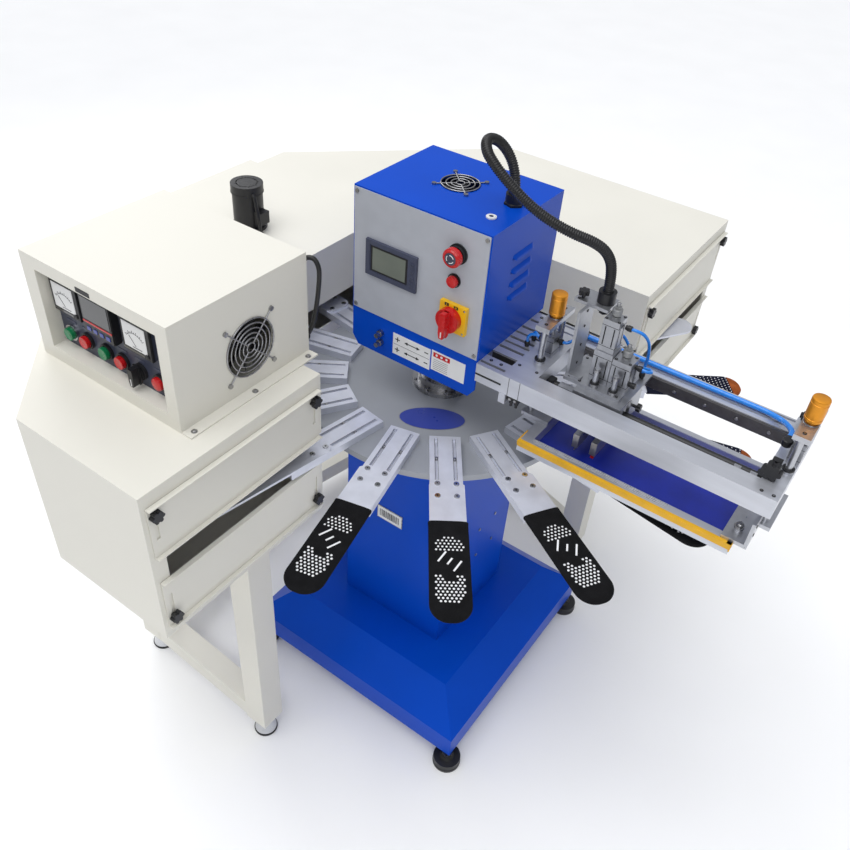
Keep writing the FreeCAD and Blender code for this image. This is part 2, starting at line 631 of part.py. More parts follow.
def screen():
    outer = between(("screen_in", "screen_out"), ("screen_front", "screen_back"),
                    ("screen_low", "screen_top"))
    window_x = ("screen_in + screen_bar", "screen_out - screen_bar")
    window_y = ("screen_front + screen_bar", "screen_back - far_bar")
    window = between(window_x, window_y, ("screen_low - 1", "screen_top + 1"))
    sub_part("screen_frame", [cut(outer, [window])])
    sub_part("screen_mesh", [between(window_x, window_y, ("screen_low + 0.5", "screen_low + 1.5"))])


def carriage():
    plate = between(("plate_in", "plate_out"), (-68, 20), ("plate_low", "plate_low + plate_tall"))
    under = between((330, 425), (-85.5, "guide_face - 1"), (1034, "plate_low"))
    near_block = between((300, 425), (-85.5, -70), (1008, 1034))
    far_block = between((330, 400), (42, "guide_face - 1"), ("rail_base + 2", 1034))
    end_plate = between((419, 425), (-34, 12), (988, 1034))
    upright = between((300, 306), (-62, -5), ("plate_low + plate_tall", "deck_z"))
    foot = between((306, 330), (-62, -50), ("plate_low + plate_tall", "plate_low + plate_tall + 4"))
    deck = between((276, 342), (-32, 14), ("deck_z", "deck_z + 6"))
    tools = [rod((x, y, 1030), radius, 20) for x in ("rear_x", "front_x")
             for y, radius in (("cylinder_y", 6.5), ("guide_y", 5.5))]
    deck_hole = rod(("gland_x", "gland_y", "deck_z - 1"), 9, 8)
    solid = fused([plate, under, near_block, far_block, end_plate, upright, foot, deck])
    sub_part("carriage_frame", [cut(solid, tools + [deck_hole])])

    bodies = []
    half = "cylinder_wide/2"
    for x, top in (("rear_x", "rear_mid"), ("front_x", "front_top")):
        block = box((f"{x} - {half}", f"cylinder_y - {half}", "plate_low + plate_tall"),
                    ("cylinder_wide", "cylinder_wide", f"{top} - plate_low - plate_tall"))
        bodies.append((x, block))
    head = box(("rear_x - 15.5", "cylinder_y - 15.5", "rear_mid"), (31, 31, "rear_top - rear_mid"))
    rear = fused([bodies[0][1], head])
    pair = []
    for x, solid in (("rear_x", rear), ("front_x", bodies[1][1])):
        pair.append(cut(solid, [rod((x, "cylinder_y", "plate_low"), 6.5, 56)]))
    sub_part("carriage_cylinders", pair)

    gland = cut(rod(("gland_x", "gland_y", "deck_z + 6"), 16, 22),
                [rod(("gland_x", "gland_y", "deck_z + 10"), "hose_radius + hose_fit", 20)])
    knob = star_knob((287, -20, "deck_z + 6"), "z", 10, 9, 6)
    clamp = star_knob((425, -20, 1012), "x", 8, 8, 8)
    sub_part("carriage_fittings", [gland, knob, clamp])


def stroke_adjusters():
    for label, x, z in (("stroke_adjuster_rear", "rear_x", "rear_top"),
                        ("stroke_adjuster_front", "front_x", "front_top")):
        grip = rod((x, "cylinder_y", z), 9, 20)
        sub_part(label, [fused([grip, rod((x, "cylinder_y", f"{z} + 20"), 4, 10)])])


def squeegees():
    """Squeegee and flood bar: each a holder on a piston rod and a guide pin, with its blade."""
    for label, x, half in (("squeegee_holder", "front_x", 3), ("flood_holder", "rear_x", 1)):
        holder = box((f"{x} - 6", "bar_front", "holder_low"), (12, "bar_long", "holder_top - holder_low"))
        piston = rod((x, "cylinder_y", "holder_top"), 6, 125)
        pin = rod((x, "guide_y", "holder_top"), 5, 140)
        blade = box((f"{x} - {half}", "bar_front + 3", "blade_low"),
                    (2 * half, "bar_long - 6", "holder_low - blade_low"))
        if label == "squeegee_holder":
            sub_part(label, [fused([holder, piston, pin])])
            sub_part("squeegee_blade", [blade])
        else:
            sub_part(label, [fused([holder, piston, pin, blade])])


# ---------------------------------------------------------------- dryer

def horseshoe():
    """Outer and inner corners of the dryer's plan, from the front mouth round to the back one."""
    outer = [(size("mouth_left"), -size("out_front")), (-size("cut_front"), -size("out_front")),
             (-size("out_left"), -size("cut_left")), (-size("out_step"), size("cut_step")),
             (-size("cut_back"), size("out_back")), (size("mouth_right"), size("out_back"))]
    inner = [(size("mouth_left"), -size("in_front")), (-size("in_cut_front"), -size("in_front")),
             (-size("in_left"), -size("in_cut_left")), (-size("in_left"), size("in_cut_rise")),
             (-size("in_cut_back"), size("in_back")), (size("mouth_right"), size("in_back"))]
    return outer, inner


def toward(start, end, distance):
    """The point at a distance from start on the way to end."""
    whole = math.dist(start, end)
    return tuple(a + (b - a) * distance / whole for a, b in zip(start, end))


def sections():
    """The five straight sections: each has its outer run of points and its inner pair."""
    outer, inner = horseshoe()
    runs = [[outer[k], outer[k + 1]] for k in range(5)]
    runs[2] = [outer[2], (-size("out_left"), size("cut_step")), outer[3]]
    runs[3] = [outer[3], (-size("out_step"), size("cut_rise")), outer[4]]
    return [(run, [inner[k], inner[k + 1]]) for k, run in enumerate(runs)]


def wall(run, facing, thick, low, high):
    """A sheet wall along two points, its thickness toward the two points it faces."""
    start, end = run
    return prism([start, end, toward(end, facing[1], thick), toward(start, facing[0], thick)], low, high)


def dryer():
    low, top, thick = size("dryer_low"), size("dryer_top"), size("dryer_sheet")
    floors, roofs, outer_walls, lower_bands, upper_bands = [], [], [], [], []
    for run, inner in sections():
        outline = run + inner[::-1]
        floors.append(prism(outline, low, low + thick))
        roofs.append(prism(outline, top - thick, top))
        for start, end in zip(run, run[1:]):
            facing = (inner[0] if start == run[0] else inner[1], inner[1])
            outer_walls.append(wall((start, end), facing, thick, low + thick, top - thick))
        facing = (run[0], run[-1])
        lower_bands.append(wall(inner, facing, thick, low + thick, size("band_low")))
        upper_bands.append(wall(inner, facing, thick, size("band_high"), top - thick))
    sub_part("dryer_decks", floors + roofs)
    sub_part("dryer_outer_walls", outer_walls)
    sub_part("dryer_inner_walls", lower_bands + upper_bands)


def dryer_ends():
    """Sheet frame round each mouth, and two sliding shutters on it."""
    frames = []
    inside = ("dryer_low + dryer_sheet", "dryer_top - dryer_sheet")
    for name, face, low_y, high_y, inner_is_high in (
            ("front", "mouth_left", "-out_front + dryer_sheet", "-in_front - dryer_sheet", True),
            ("back", "mouth_right", "in_back + dryer_sheet", "out_back - dryer_sheet", False)):
        x = (f"{face} - dryer_sheet", face)
        outer = (low_y, f"{low_y} + strip_side") if inner_is_high else (f"{high_y} - strip_side", high_y)
        inner = (f"{high_y} - strip_side", high_y) if inner_is_high else (low_y, f"{low_y} + strip_side")
        middle = (f"{low_y} + strip_side", f"{high_y} - strip_side")
        frames.append(between(x, outer, inside))
        frames.append(between(x, inner, (inside[0], "band_low")))
        frames.append(between(x, inner, ("band_high", inside[1])))
        frames.append(between(x, middle, (inside[0], "dryer_low + strip_low")))
        frames.append(between(x, middle, ("dryer_top - strip_high", inside[1])))
        prefix = "" if name == "front" else "back_"
        for level, low, high, slot_low in (
                ("upper", prefix + "upper_low", "upper_top", "upper_knob - guide_long + 5"),
                ("lower", prefix + "lower_low", prefix + "lower_top", prefix + "lower_knob - 5")):
            start = f"{face} + shutter_gap"
            wide = (f"{low_y} + 6", f"{high_y} - 6")
            plate = between((start, f"{start} + shutter_thick"), wide, (low, high))
            lips = [between((start, f"{start} + shutter_lip"), wide, (z, f"{z} + 2"))
                    for z in (low, f"{high} - 2")]
            slots = [box((f"{face} - 1", f"{y} - 3.6", slot_low), (8, 7.2, "guide_long"))
                     for y in (f"{low_y} + knob_inset", f"{high_y} - knob_inset")]
            sub_part(f"shutter_{name}_{level}", [cut(fused([plate] + lips), slots)])
    sub_part("dryer_end_frames", frames)


LEGS = [(-110, -500), (-500, -483), (-600, 0), (-500, 520), (-60, 590), (205, 505)]


def dryer_stand():
    """Square legs under the tunnel with a low rail between neighbours, on conical feet."""
    half = size("leg_wide") / 2
    legs = [between((x - half, x + half), (y - half, y + half), ("leg_low", "dryer_low")) for x, y in LEGS]
    rails = []
    for first, second, start, end in zip(legs, legs[1:], LEGS, LEGS[1:]):
        along = (end[0] - start[0], end[1] - start[1])
        length = math.hypot(*along)
        side = (-along[1] / length * 28, along[0] / length * 28)
        corners = [(start[0] + side[0], start[1] + side[1]), (start[0] - side[0], start[1] - side[1]),
                   (end[0] - side[0], end[1] - side[1]), (end[0] + side[0], end[1] + side[1])]
        rail_low = size("rail_low")
        rails.append(cut(prism(corners, rail_low, rail_low + size("rail_tall")), [first, second]))
    sub_part("dryer_legs", legs + rails)
    feet = []
    for x, y in LEGS:
        pad = rod((x, y, 0), 27, 6)
        bell = cone((x, y, 6), 27, 10, 42)
        stud = rod((x, y, 48), 6, "leg_low - 48")
        feet.append(fused([pad, bell, stud]))
    sub_part("dryer_feet", feet)


def control_case():
    body = between(("case_out", "case_in"), ("case_front", "case_back"), ("dryer_top", "case_top"))
    flange = between(("case_in - 1", "case_in + 22"), ("case_front", "case_back"),
                     ("dryer_top", "dryer_top + 3"))
    window = between(("window_out", "window_in"), ("case_front - 1", "case_front + window_deep"),
                     ("window_low", "window_top"))
    inside = between(("case_out + case_wall", "case_in - case_wall"),
                     ("case_front + window_deep + 4", "case_back - case_wall"),
                     ("dryer_top + case_wall", "case_top - case_wall"))
    hole = rod(("case_in - 10", "case_fan_y", "case_fan_z"), "case_fan_radius", 20, "x")
    back = "case_front + window_deep"
    stems = [rod((x, f"{back} + 6", "button_row"), "button_bore", 12, "-y")
             for x in (*BUTTONS.values(), "selector_x")]
    sub_part("control_case", [cut(fused([body, flange]), [window, inside, hole] + stems)])

    panel = between(("window_out", "window_in"), (f"{back} - 3", back), ("window_low", "window_top"))
    meters = [box((x - 34, f"{back} - 11", 1140), (68, 8, 60)) for x in (-386, -209)]
    thermostat = box((-332, f"{back} - 17", 1138), (72, 14, 72))
    lamp = rod(("lamp_x", f"{back} - 3", "button_row"), 11.5, 10, "-y")
    sub_part("control_panel", [cut(panel, stems), *meters, thermostat, lamp])


def control_buttons():
    face = "case_front + window_deep - 3"
    for label, x in BUTTONS.items():
        push_button(label, (x, f"{face} - 6", "button_row"), 11.5, 6)
    dial = rod(("selector_x", f"{face} - 2", "button_row"), 12, 6, "-y")
    lever = between(("selector_x - 4.5", "selector_x + 4.5"), (f"{face} - 20", f"{face} - 8"),
                    ("button_row - 17", "button_row + 12"))
    stem = rod(("selector_x", f"{face} - 2", "button_row"), "button_stem", 8, "y")
    sub_part("mode_selector", [fused([dial, lever, stem])])


def dryer_motor():
    flange = rod(("motor_x", "motor_y", "dryer_top"), "motor_radius + 6", 6)
    body = rod(("motor_x", "motor_y", "dryer_top + 6"), "motor_radius", 78)
    cap = rod(("motor_x", "motor_y", "dryer_top + 84"), "motor_radius + 2", 14)
    boss = cone(("motor_x", "motor_y", "dryer_top + 98"), "motor_radius - 2", "motor_radius - 10", 6)
    lead_box = box(("motor_x + motor_radius - 4", "motor_y - 14", "dryer_top + 20"), (20, 28, 28))
    sub_part("dryer_motor", [fused([flange, body, cap, boss, lead_box])])


def check_and_export():
    """Stops on any failed object or shape, then writes one STEP file for each sub-part."""
    doc.recompute()
    for item in doc.Objects:
        if "Invalid" in item.State or "Error" in item.State:
            raise RuntimeError(f"{item.Name} failed: {item.State}")
    os.makedirs("parts", exist_ok=True)
    labels = [item.Label for item in SUB_PARTS]
    if len(set(labels)) != len(labels) or len(labels) > 60:
        raise RuntimeError(f"{len(labels)} labels, some repeated or too many")
    for item in SUB_PARTS:
        if item.Shape.isNull() or not item.Shape.isValid():
            raise RuntimeError(f"{item.Label} has no valid shape")
        item.Shape.exportStep(f"parts/{item.Label}.step")
    print(len(labels), "sub-parts written")


base_plinth()
base_feet()
column()
centre_post()
trim_screws()
head_box()
head_panel()
hmi()
head_controls()
fans()
head_fittings()
turntable()
stations()
arm_beam()
arm_frame()
linear_guide()
arm_actuators()
lift_yokes()
height_knobs()
clamp_knobs()
tubes()
screen()
carriage()
stroke_adjusters()
squeegees()
dryer()
dryer_ends()
dryer_stand()
control_case()
control_buttons()
dryer_motor()
check_and_export()
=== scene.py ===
"""Looks for the sock screen printing carousel and its tunnel dryer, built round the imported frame.

Positions are written in millimetres from the carousel's axis on the floor, as the machine is laid
out, and at() turns them into metres in the row frame. +X runs along the print arm, -Y faces the
operator and Z is up.
"""
import bmesh
import bpy
import random
from math import copysign, cos, hypot, pi, radians, sin, sqrt
from mathutils import Matrix, Vector, noise


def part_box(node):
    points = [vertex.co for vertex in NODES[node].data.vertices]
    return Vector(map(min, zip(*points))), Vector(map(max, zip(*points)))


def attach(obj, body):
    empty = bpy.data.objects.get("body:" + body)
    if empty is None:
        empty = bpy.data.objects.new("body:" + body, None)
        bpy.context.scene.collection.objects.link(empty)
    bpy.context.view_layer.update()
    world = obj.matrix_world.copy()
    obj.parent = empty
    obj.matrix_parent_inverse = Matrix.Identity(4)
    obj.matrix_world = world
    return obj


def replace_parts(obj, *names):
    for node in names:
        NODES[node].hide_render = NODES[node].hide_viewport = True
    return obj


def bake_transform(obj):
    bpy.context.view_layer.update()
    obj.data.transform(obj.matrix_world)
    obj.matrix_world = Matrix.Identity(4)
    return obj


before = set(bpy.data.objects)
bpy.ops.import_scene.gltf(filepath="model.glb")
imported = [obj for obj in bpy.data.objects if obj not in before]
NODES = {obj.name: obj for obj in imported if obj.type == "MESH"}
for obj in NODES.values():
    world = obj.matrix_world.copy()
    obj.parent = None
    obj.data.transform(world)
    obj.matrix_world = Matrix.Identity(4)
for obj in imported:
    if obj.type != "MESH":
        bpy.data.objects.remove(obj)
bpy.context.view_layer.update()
AXIS = sum(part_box("turntable"), Vector()) / 2
STATIONS = 16
FIRST_ANGLE = -54
UP, ALONG_X, ALONG_Y, FRONT = Vector((0, 0, 1)), Vector((1, 0, 0)), Vector((0, 1, 0)), Vector((0, -1, 0))


def at(x, y, z):
    """Millimetres from the carousel's axis and the floor, to metres in the row frame."""
    return Vector((AXIS.x + x / 1000, AXIS.y + y / 1000, z / 1000))


def polar(radius, degrees):
    """How far a radius at an angle reaches along the first axis and along the second."""
    return radius * cos(radians(degrees)), radius * sin(radians(degrees))


def spin(degrees):
    """A turn about the vertical."""
    return Matrix.Rotation(radians(degrees), 3, "Z")


def station_angle(station):
    return FIRST_ANGLE + station * 360 / STATIONS


# ---- camera, floor and light

def placed(name, data):
    """A new object in the scene."""
    thing = bpy.data.objects.new(name, data)
    bpy.context.scene.collection.objects.link(thing)
    return thing


def aim_camera():
    yaw, pitch, roll = (radians(a) for a in (32.66, -40.08, 4.73))
    ahead = Vector((-sin(yaw) * cos(pitch), cos(yaw) * cos(pitch), sin(pitch)))
    level = Vector((cos(yaw), sin(yaw), 0))
    up = level.cross(ahead)
    side = level * cos(roll) + up * sin(roll)
    top = up * cos(roll) - level * sin(roll)
    data = bpy.data.cameras.new("Camera")
    data.sensor_width = 36
    data.lens = 35.85
    camera = placed("Camera", data)
    camera.matrix_world = Matrix((side, top, -ahead)).transposed().to_4x4()
    camera.matrix_world.translation = at(771.84, -1258.31, 1958.72)
    bpy.context.scene.camera = camera


def light_from(name, kind, place, target, power, spread):
    """A soft light that looks at the target; spread is a lamp's diameter or a sun's angle."""
    data = bpy.data.lights.new(name, kind)
    data.energy = power
    if kind == "SUN":
        data.angle = spread
    else:
        data.shape = "DISK"
        data.size = spread
    light = placed(name, data)
    light.location = place
    light.rotation_euler = (Vector(target) - Vector(place)).to_track_quat("-Z", "Y").to_euler()


def studio():
    """A room that is pale overhead and darker toward the horizon, so that metal has contrast."""
    world = bpy.data.worlds.new("Studio")
    bpy.context.scene.world = world
    bpy.context.scene.view_settings.view_transform = "Standard"
    world.use_nodes = True
    nodes, links = world.node_tree.nodes, world.node_tree.links
    place, split = add(nodes, "TexCoord"), add(nodes, "SeparateXYZ")
    sky = ramp(nodes, (0.0, (0.16, 0.165, 0.18)), (0.75, (0.80, 0.82, 0.86)))
    links.new(place.outputs["Generated"], split.inputs["Vector"])
    links.new(split.outputs["Z"], sky.inputs["Fac"])
    links.new(sky.outputs["Color"], nodes["Background"].inputs["Color"])
    nodes["Background"].inputs["Strength"].default_value = 0.80
    middle = (AXIS.x, AXIS.y, 0.9)
    light_from("sun", "SUN", (-0.45, -0.85, 3.2), (0, 0, 0), 1.55, radians(50))
    light_from("key", "AREA", (1.8, -2.4, 3.4), middle, 20, 2.0)
    light_from("back", "AREA", (-2.7, 0.9, 2.7), middle, 24, 1.8)
    mesh = bpy.data.meshes.new("floor")
    half = 14
    corners = [(x * half, y * half, 0) for x, y in ((-1, -1), (1, -1), (1, 1), (-1, 1))]
    mesh.from_pydata(corners, [], [(0, 1, 2, 3)])
    mesh.materials.append(finish("floor_paint", (0.95, 0.95, 0.95), 0.7, grain=3, vary=0.01))
    placed("floor", mesh)


# ---- materials

LOOKS = {}


def add(nodes, kind, **settings):
    """A new shader node; an input's name has _ for each of its spaces."""
    node = nodes.new("ShaderNode" + kind)
    for name, value in settings.items():
        node.inputs[name.replace("_", " ")].default_value = value
    return node


def ramp(nodes, *stops):
    """A colour ramp between two (position, colour) stops."""
    node = nodes.new("ShaderNodeValToRGB")
    for element, (position, colour) in zip(node.color_ramp.elements, stops):
        element.position = position
        element.color = (*colour, 1)
    return node


def finish(name, colour, rough, metal=0.0, coat=0.0, grain=60.0, vary=0.06, bump=0.0, bump_grain=700.0,
           stretch=(1, 1, 1), wander=0.08, gloss=0.5):
    """A node material kept in LOOKS: its colour and roughness wander with noise, finer noise gives relief."""
    material = bpy.data.materials.new(name)
    material.use_nodes = True
    nodes, links = material.node_tree.nodes, material.node_tree.links
    shader = nodes["Principled BSDF"]
    for setting, value in (("Metallic", metal), ("Coat Weight", coat), ("Specular IOR Level", gloss)):
        shader.inputs[setting].default_value = value
    place, mapping = add(nodes, "TexCoord"), add(nodes, "Mapping", Scale=stretch)
    cloud = add(nodes, "TexNoise", Scale=grain, Detail=4)
    links.new(place.outputs["Object"], mapping.inputs["Vector"])
    links.new(mapping.outputs["Vector"], cloud.inputs["Vector"])
    tint = ramp(nodes, (0.3, [c * (1 - vary) for c in colour]),
                (0.7, [min(1.0, c * (1 + vary)) for c in colour]))
    links.new(cloud.outputs["Fac"], tint.inputs["Fac"])
    links.new(tint.outputs["Color"], shader.inputs["Base Color"])
    smear = add(nodes, "MapRange", To_Min=max(0.02, rough - wander), To_Max=min(1.0, rough + wander))
    links.new(cloud.outputs["Fac"], smear.inputs["Value"])
    links.new(smear.outputs["Result"], shader.inputs["Roughness"])
    if bump:
        relief = add(nodes, "TexNoise", Scale=bump_grain, Detail=2)
        raised = add(nodes, "Bump", Strength=bump, Distance=0.0005)
        links.new(mapping.outputs["Vector"], relief.inputs["Vector"])
        links.new(relief.outputs["Fac"], raised.inputs["Height"])
        links.new(raised.outputs["Normal"], shader.inputs["Normal"])
    LOOKS[name] = material
    return material


def knit(name, colour, rib=420.0):
    """A knitted fabric: rows of loops across fine ribs."""
    material = finish(name, colour, 0.9, vary=0.25, gloss=0.12)
    nodes, links = material.node_tree.nodes, material.node_tree.links
    place = next(n for n in nodes if n.type == "TEX_COORD")
    waves = [add(nodes, "TexWave", Scale=rib, Distortion=1.5) for _ in range(2)]
    loops = add(nodes, "Math")
    loops.operation = "MULTIPLY"
    for wave, direction, factor in zip(waves, "XY", loops.inputs):
        wave.bands_direction = direction
        links.new(place.outputs["Object"], wave.inputs["Vector"])
        links.new(wave.outputs["Fac"], factor)
    raised = add(nodes, "Bump", Strength=0.5, Distance=0.0008)
    links.new(loops.outputs["Value"], raised.inputs["Height"])
    links.new(raised.outputs["Normal"], nodes["Principled BSDF"].inputs["Normal"])


finish("blue_paint", (0.001, 0.066, 0.52), 0.3, grain=5, wander=0.05, gloss=0.12)
finish("grey_paint", (0.47, 0.49, 0.54), 0.42, metal=0.1, grain=40, vary=0.03, bump=0.06)
finish("cream_paint", (0.765, 0.745, 0.67), 0.5, grain=5, vary=0.015, bump=0.12, bump_grain=900)
finish("table_paint", (0.31, 0.325, 0.355), 0.36, metal=0.2, grain=9, vary=0.05, bump=0.05)
finish("satin_aluminium", (0.6, 0.615, 0.665), 0.36, metal=0.7, bump=0.08, bump_grain=300,
       stretch=(0.12, 1, 1))
finish("board_aluminium", (0.66, 0.68, 0.76), 0.36, metal=0.45, grain=30)
finish("cast_aluminium", (0.42, 0.43, 0.46), 0.36, metal=0.85, grain=90, vary=0.07)
finish("satin_steel", (0.5, 0.51, 0.54), 0.3, metal=0.85, grain=70, vary=0.05)
finish("bright_steel", (0.6, 0.61, 0.63), 0.16, metal=1.0, grain=50, vary=0.05)
finish("machined_steel", (0.36, 0.36, 0.37), 0.28, metal=1.0, grain=80, vary=0.08)
# Dark steel for the linear guides, and for the painted shade on the beam's groove walls.
finish("dark_steel_and_painted_shade", (0.13, 0.125, 0.125), 0.34, metal=0.8, grain=80, vary=0.15, bump=0.06)
finish("black_plastic", (0.01, 0.01, 0.012), 0.4, grain=70, vary=0.2, bump=0.1)
finish("black_rubber", (0.009, 0.009, 0.01), 0.4, grain=90, vary=0.25)
finish("gold_anodised", (0.78, 0.31, 0.02), 0.34, metal=0.55, grain=90)
finish("red_plastic", (0.55, 0.006, 0.008), 0.26, coat=0.2)
finish("green_plastic", (0.005, 0.2, 0.07), 0.28, coat=0.2)
finish("yellow_plastic", (0.86, 0.5, 0.005), 0.32, coat=0.1, vary=0.04)
finish("blue_tube", (0.02, 0.24, 0.8), 0.22, coat=0.3, vary=0.08)
finish("slate_panel", (0.045, 0.052, 0.085), 0.38, grain=50, vary=0.08, bump=0.05)
finish("squeegee_red", (0.5, 0.012, 0.006), 0.4, vary=0.1, bump=0.08)
finish("screen_cloth", (0.006, 0.022, 0.36), 0.34, grain=24, vary=0.14, bump=0.2, bump_grain=2500)
finish("yellow_tape", (0.78, 0.42, 0.012), 0.48, grain=35, vary=0.1, bump=0.25, bump_grain=120)
finish("white_plate", (0.8, 0.8, 0.8), 0.35, grain=30, vary=0.02)
# Flat black for print and black parts, and for the painted shade on the beam's groove floors.
finish("flat_black_and_painted_shade", (0.012, 0.012, 0.014), 0.5, vary=0.1)
finish("lcd", (0.16, 0.18, 0.15), 0.18, coat=0.3, grain=20)
finish("bezel", (0.055, 0.063, 0.105), 0.4, bump=0.05)
finish("dark_glass", (0.012, 0.013, 0.014), 0.1, coat=0.6, grain=20, vary=0.05, wander=0.02)
finish("sticker_blue", (0.035, 0.055, 0.3), 0.3, coat=0.2, grain=40, vary=0.03)
knit("sock_black", (0.008, 0.008, 0.009))
knit("sock_navy", (0.01, 0.012, 0.028))
knit("sock_orange", (0.33, 0.085, 0.022))
finish("sock_dots", (0.82, 0.82, 0.84), 0.5, grain=90, vary=0.03)
finish("galvanised", (0.3, 0.305, 0.31), 0.45, metal=0.6, grain=40, vary=0.1, bump=0.05)

NODE_LOOKS = {
    "blue_paint": "base_plinth column head_box",
    "grey_paint": "head_panel",
    "cream_paint": "dryer_decks dryer_outer_walls dryer_inner_walls shutter_front_upper "
                   "shutter_front_lower shutter_back_upper shutter_back_lower dryer_end_frames "
                   "dryer_legs control_case",
    "table_paint": "turntable",
    "satin_aluminium": "arm_frame screen_frame arm_beam",
    "board_aluminium": "station_arms sock_boards",
    "cast_aluminium": "arm_actuators carriage_frame carriage_cylinders squeegee_holder",
    "satin_steel": "lift_yokes stroke_adjuster_rear stroke_adjuster_front flood_holder",
    "bright_steel": "dryer_feet",
    "machined_steel": "centre_post spindle_flange trim_screws station_screws fan_guards",
    "dark_steel_and_painted_shade": "linear_guides",
    "black_plastic": "head_fan_rotor case_fan_rotor head_gland knobs_and_fittings carriage_fittings "
                     "mode_selector dryer_motor",
    "bezel": "hmi_unit",
    "black_rubber": "base_feet hose socks",
    "gold_anodised": "height_knob_near height_knob_far",
    "red_plastic": "estop_button start_button isolator_handle red_button_left red_button_right",
    "green_plastic": "green_button_left green_button_right",
    "yellow_plastic": "isolator_plate",
    "blue_tube": "air_tube",
    "slate_panel": "control_panel",
    "squeegee_red": "squeegee_blade",
    "screen_cloth": "screen_mesh",
}
STEEL, BLACK = "machined_steel", "black_plastic"


def dress_nodes():
    for look, names in NODE_LOOKS.items():
        for name in names.split():
            mesh = NODES[name].data
            mesh.materials.clear()
            mesh.materials.append(LOOKS[look])


# ---- building pieces

def across(along):
    """Two unit vectors square to a direction and to each other."""
    side = along.orthogonal().normalized()
    return side, along.cross(side).normalized()


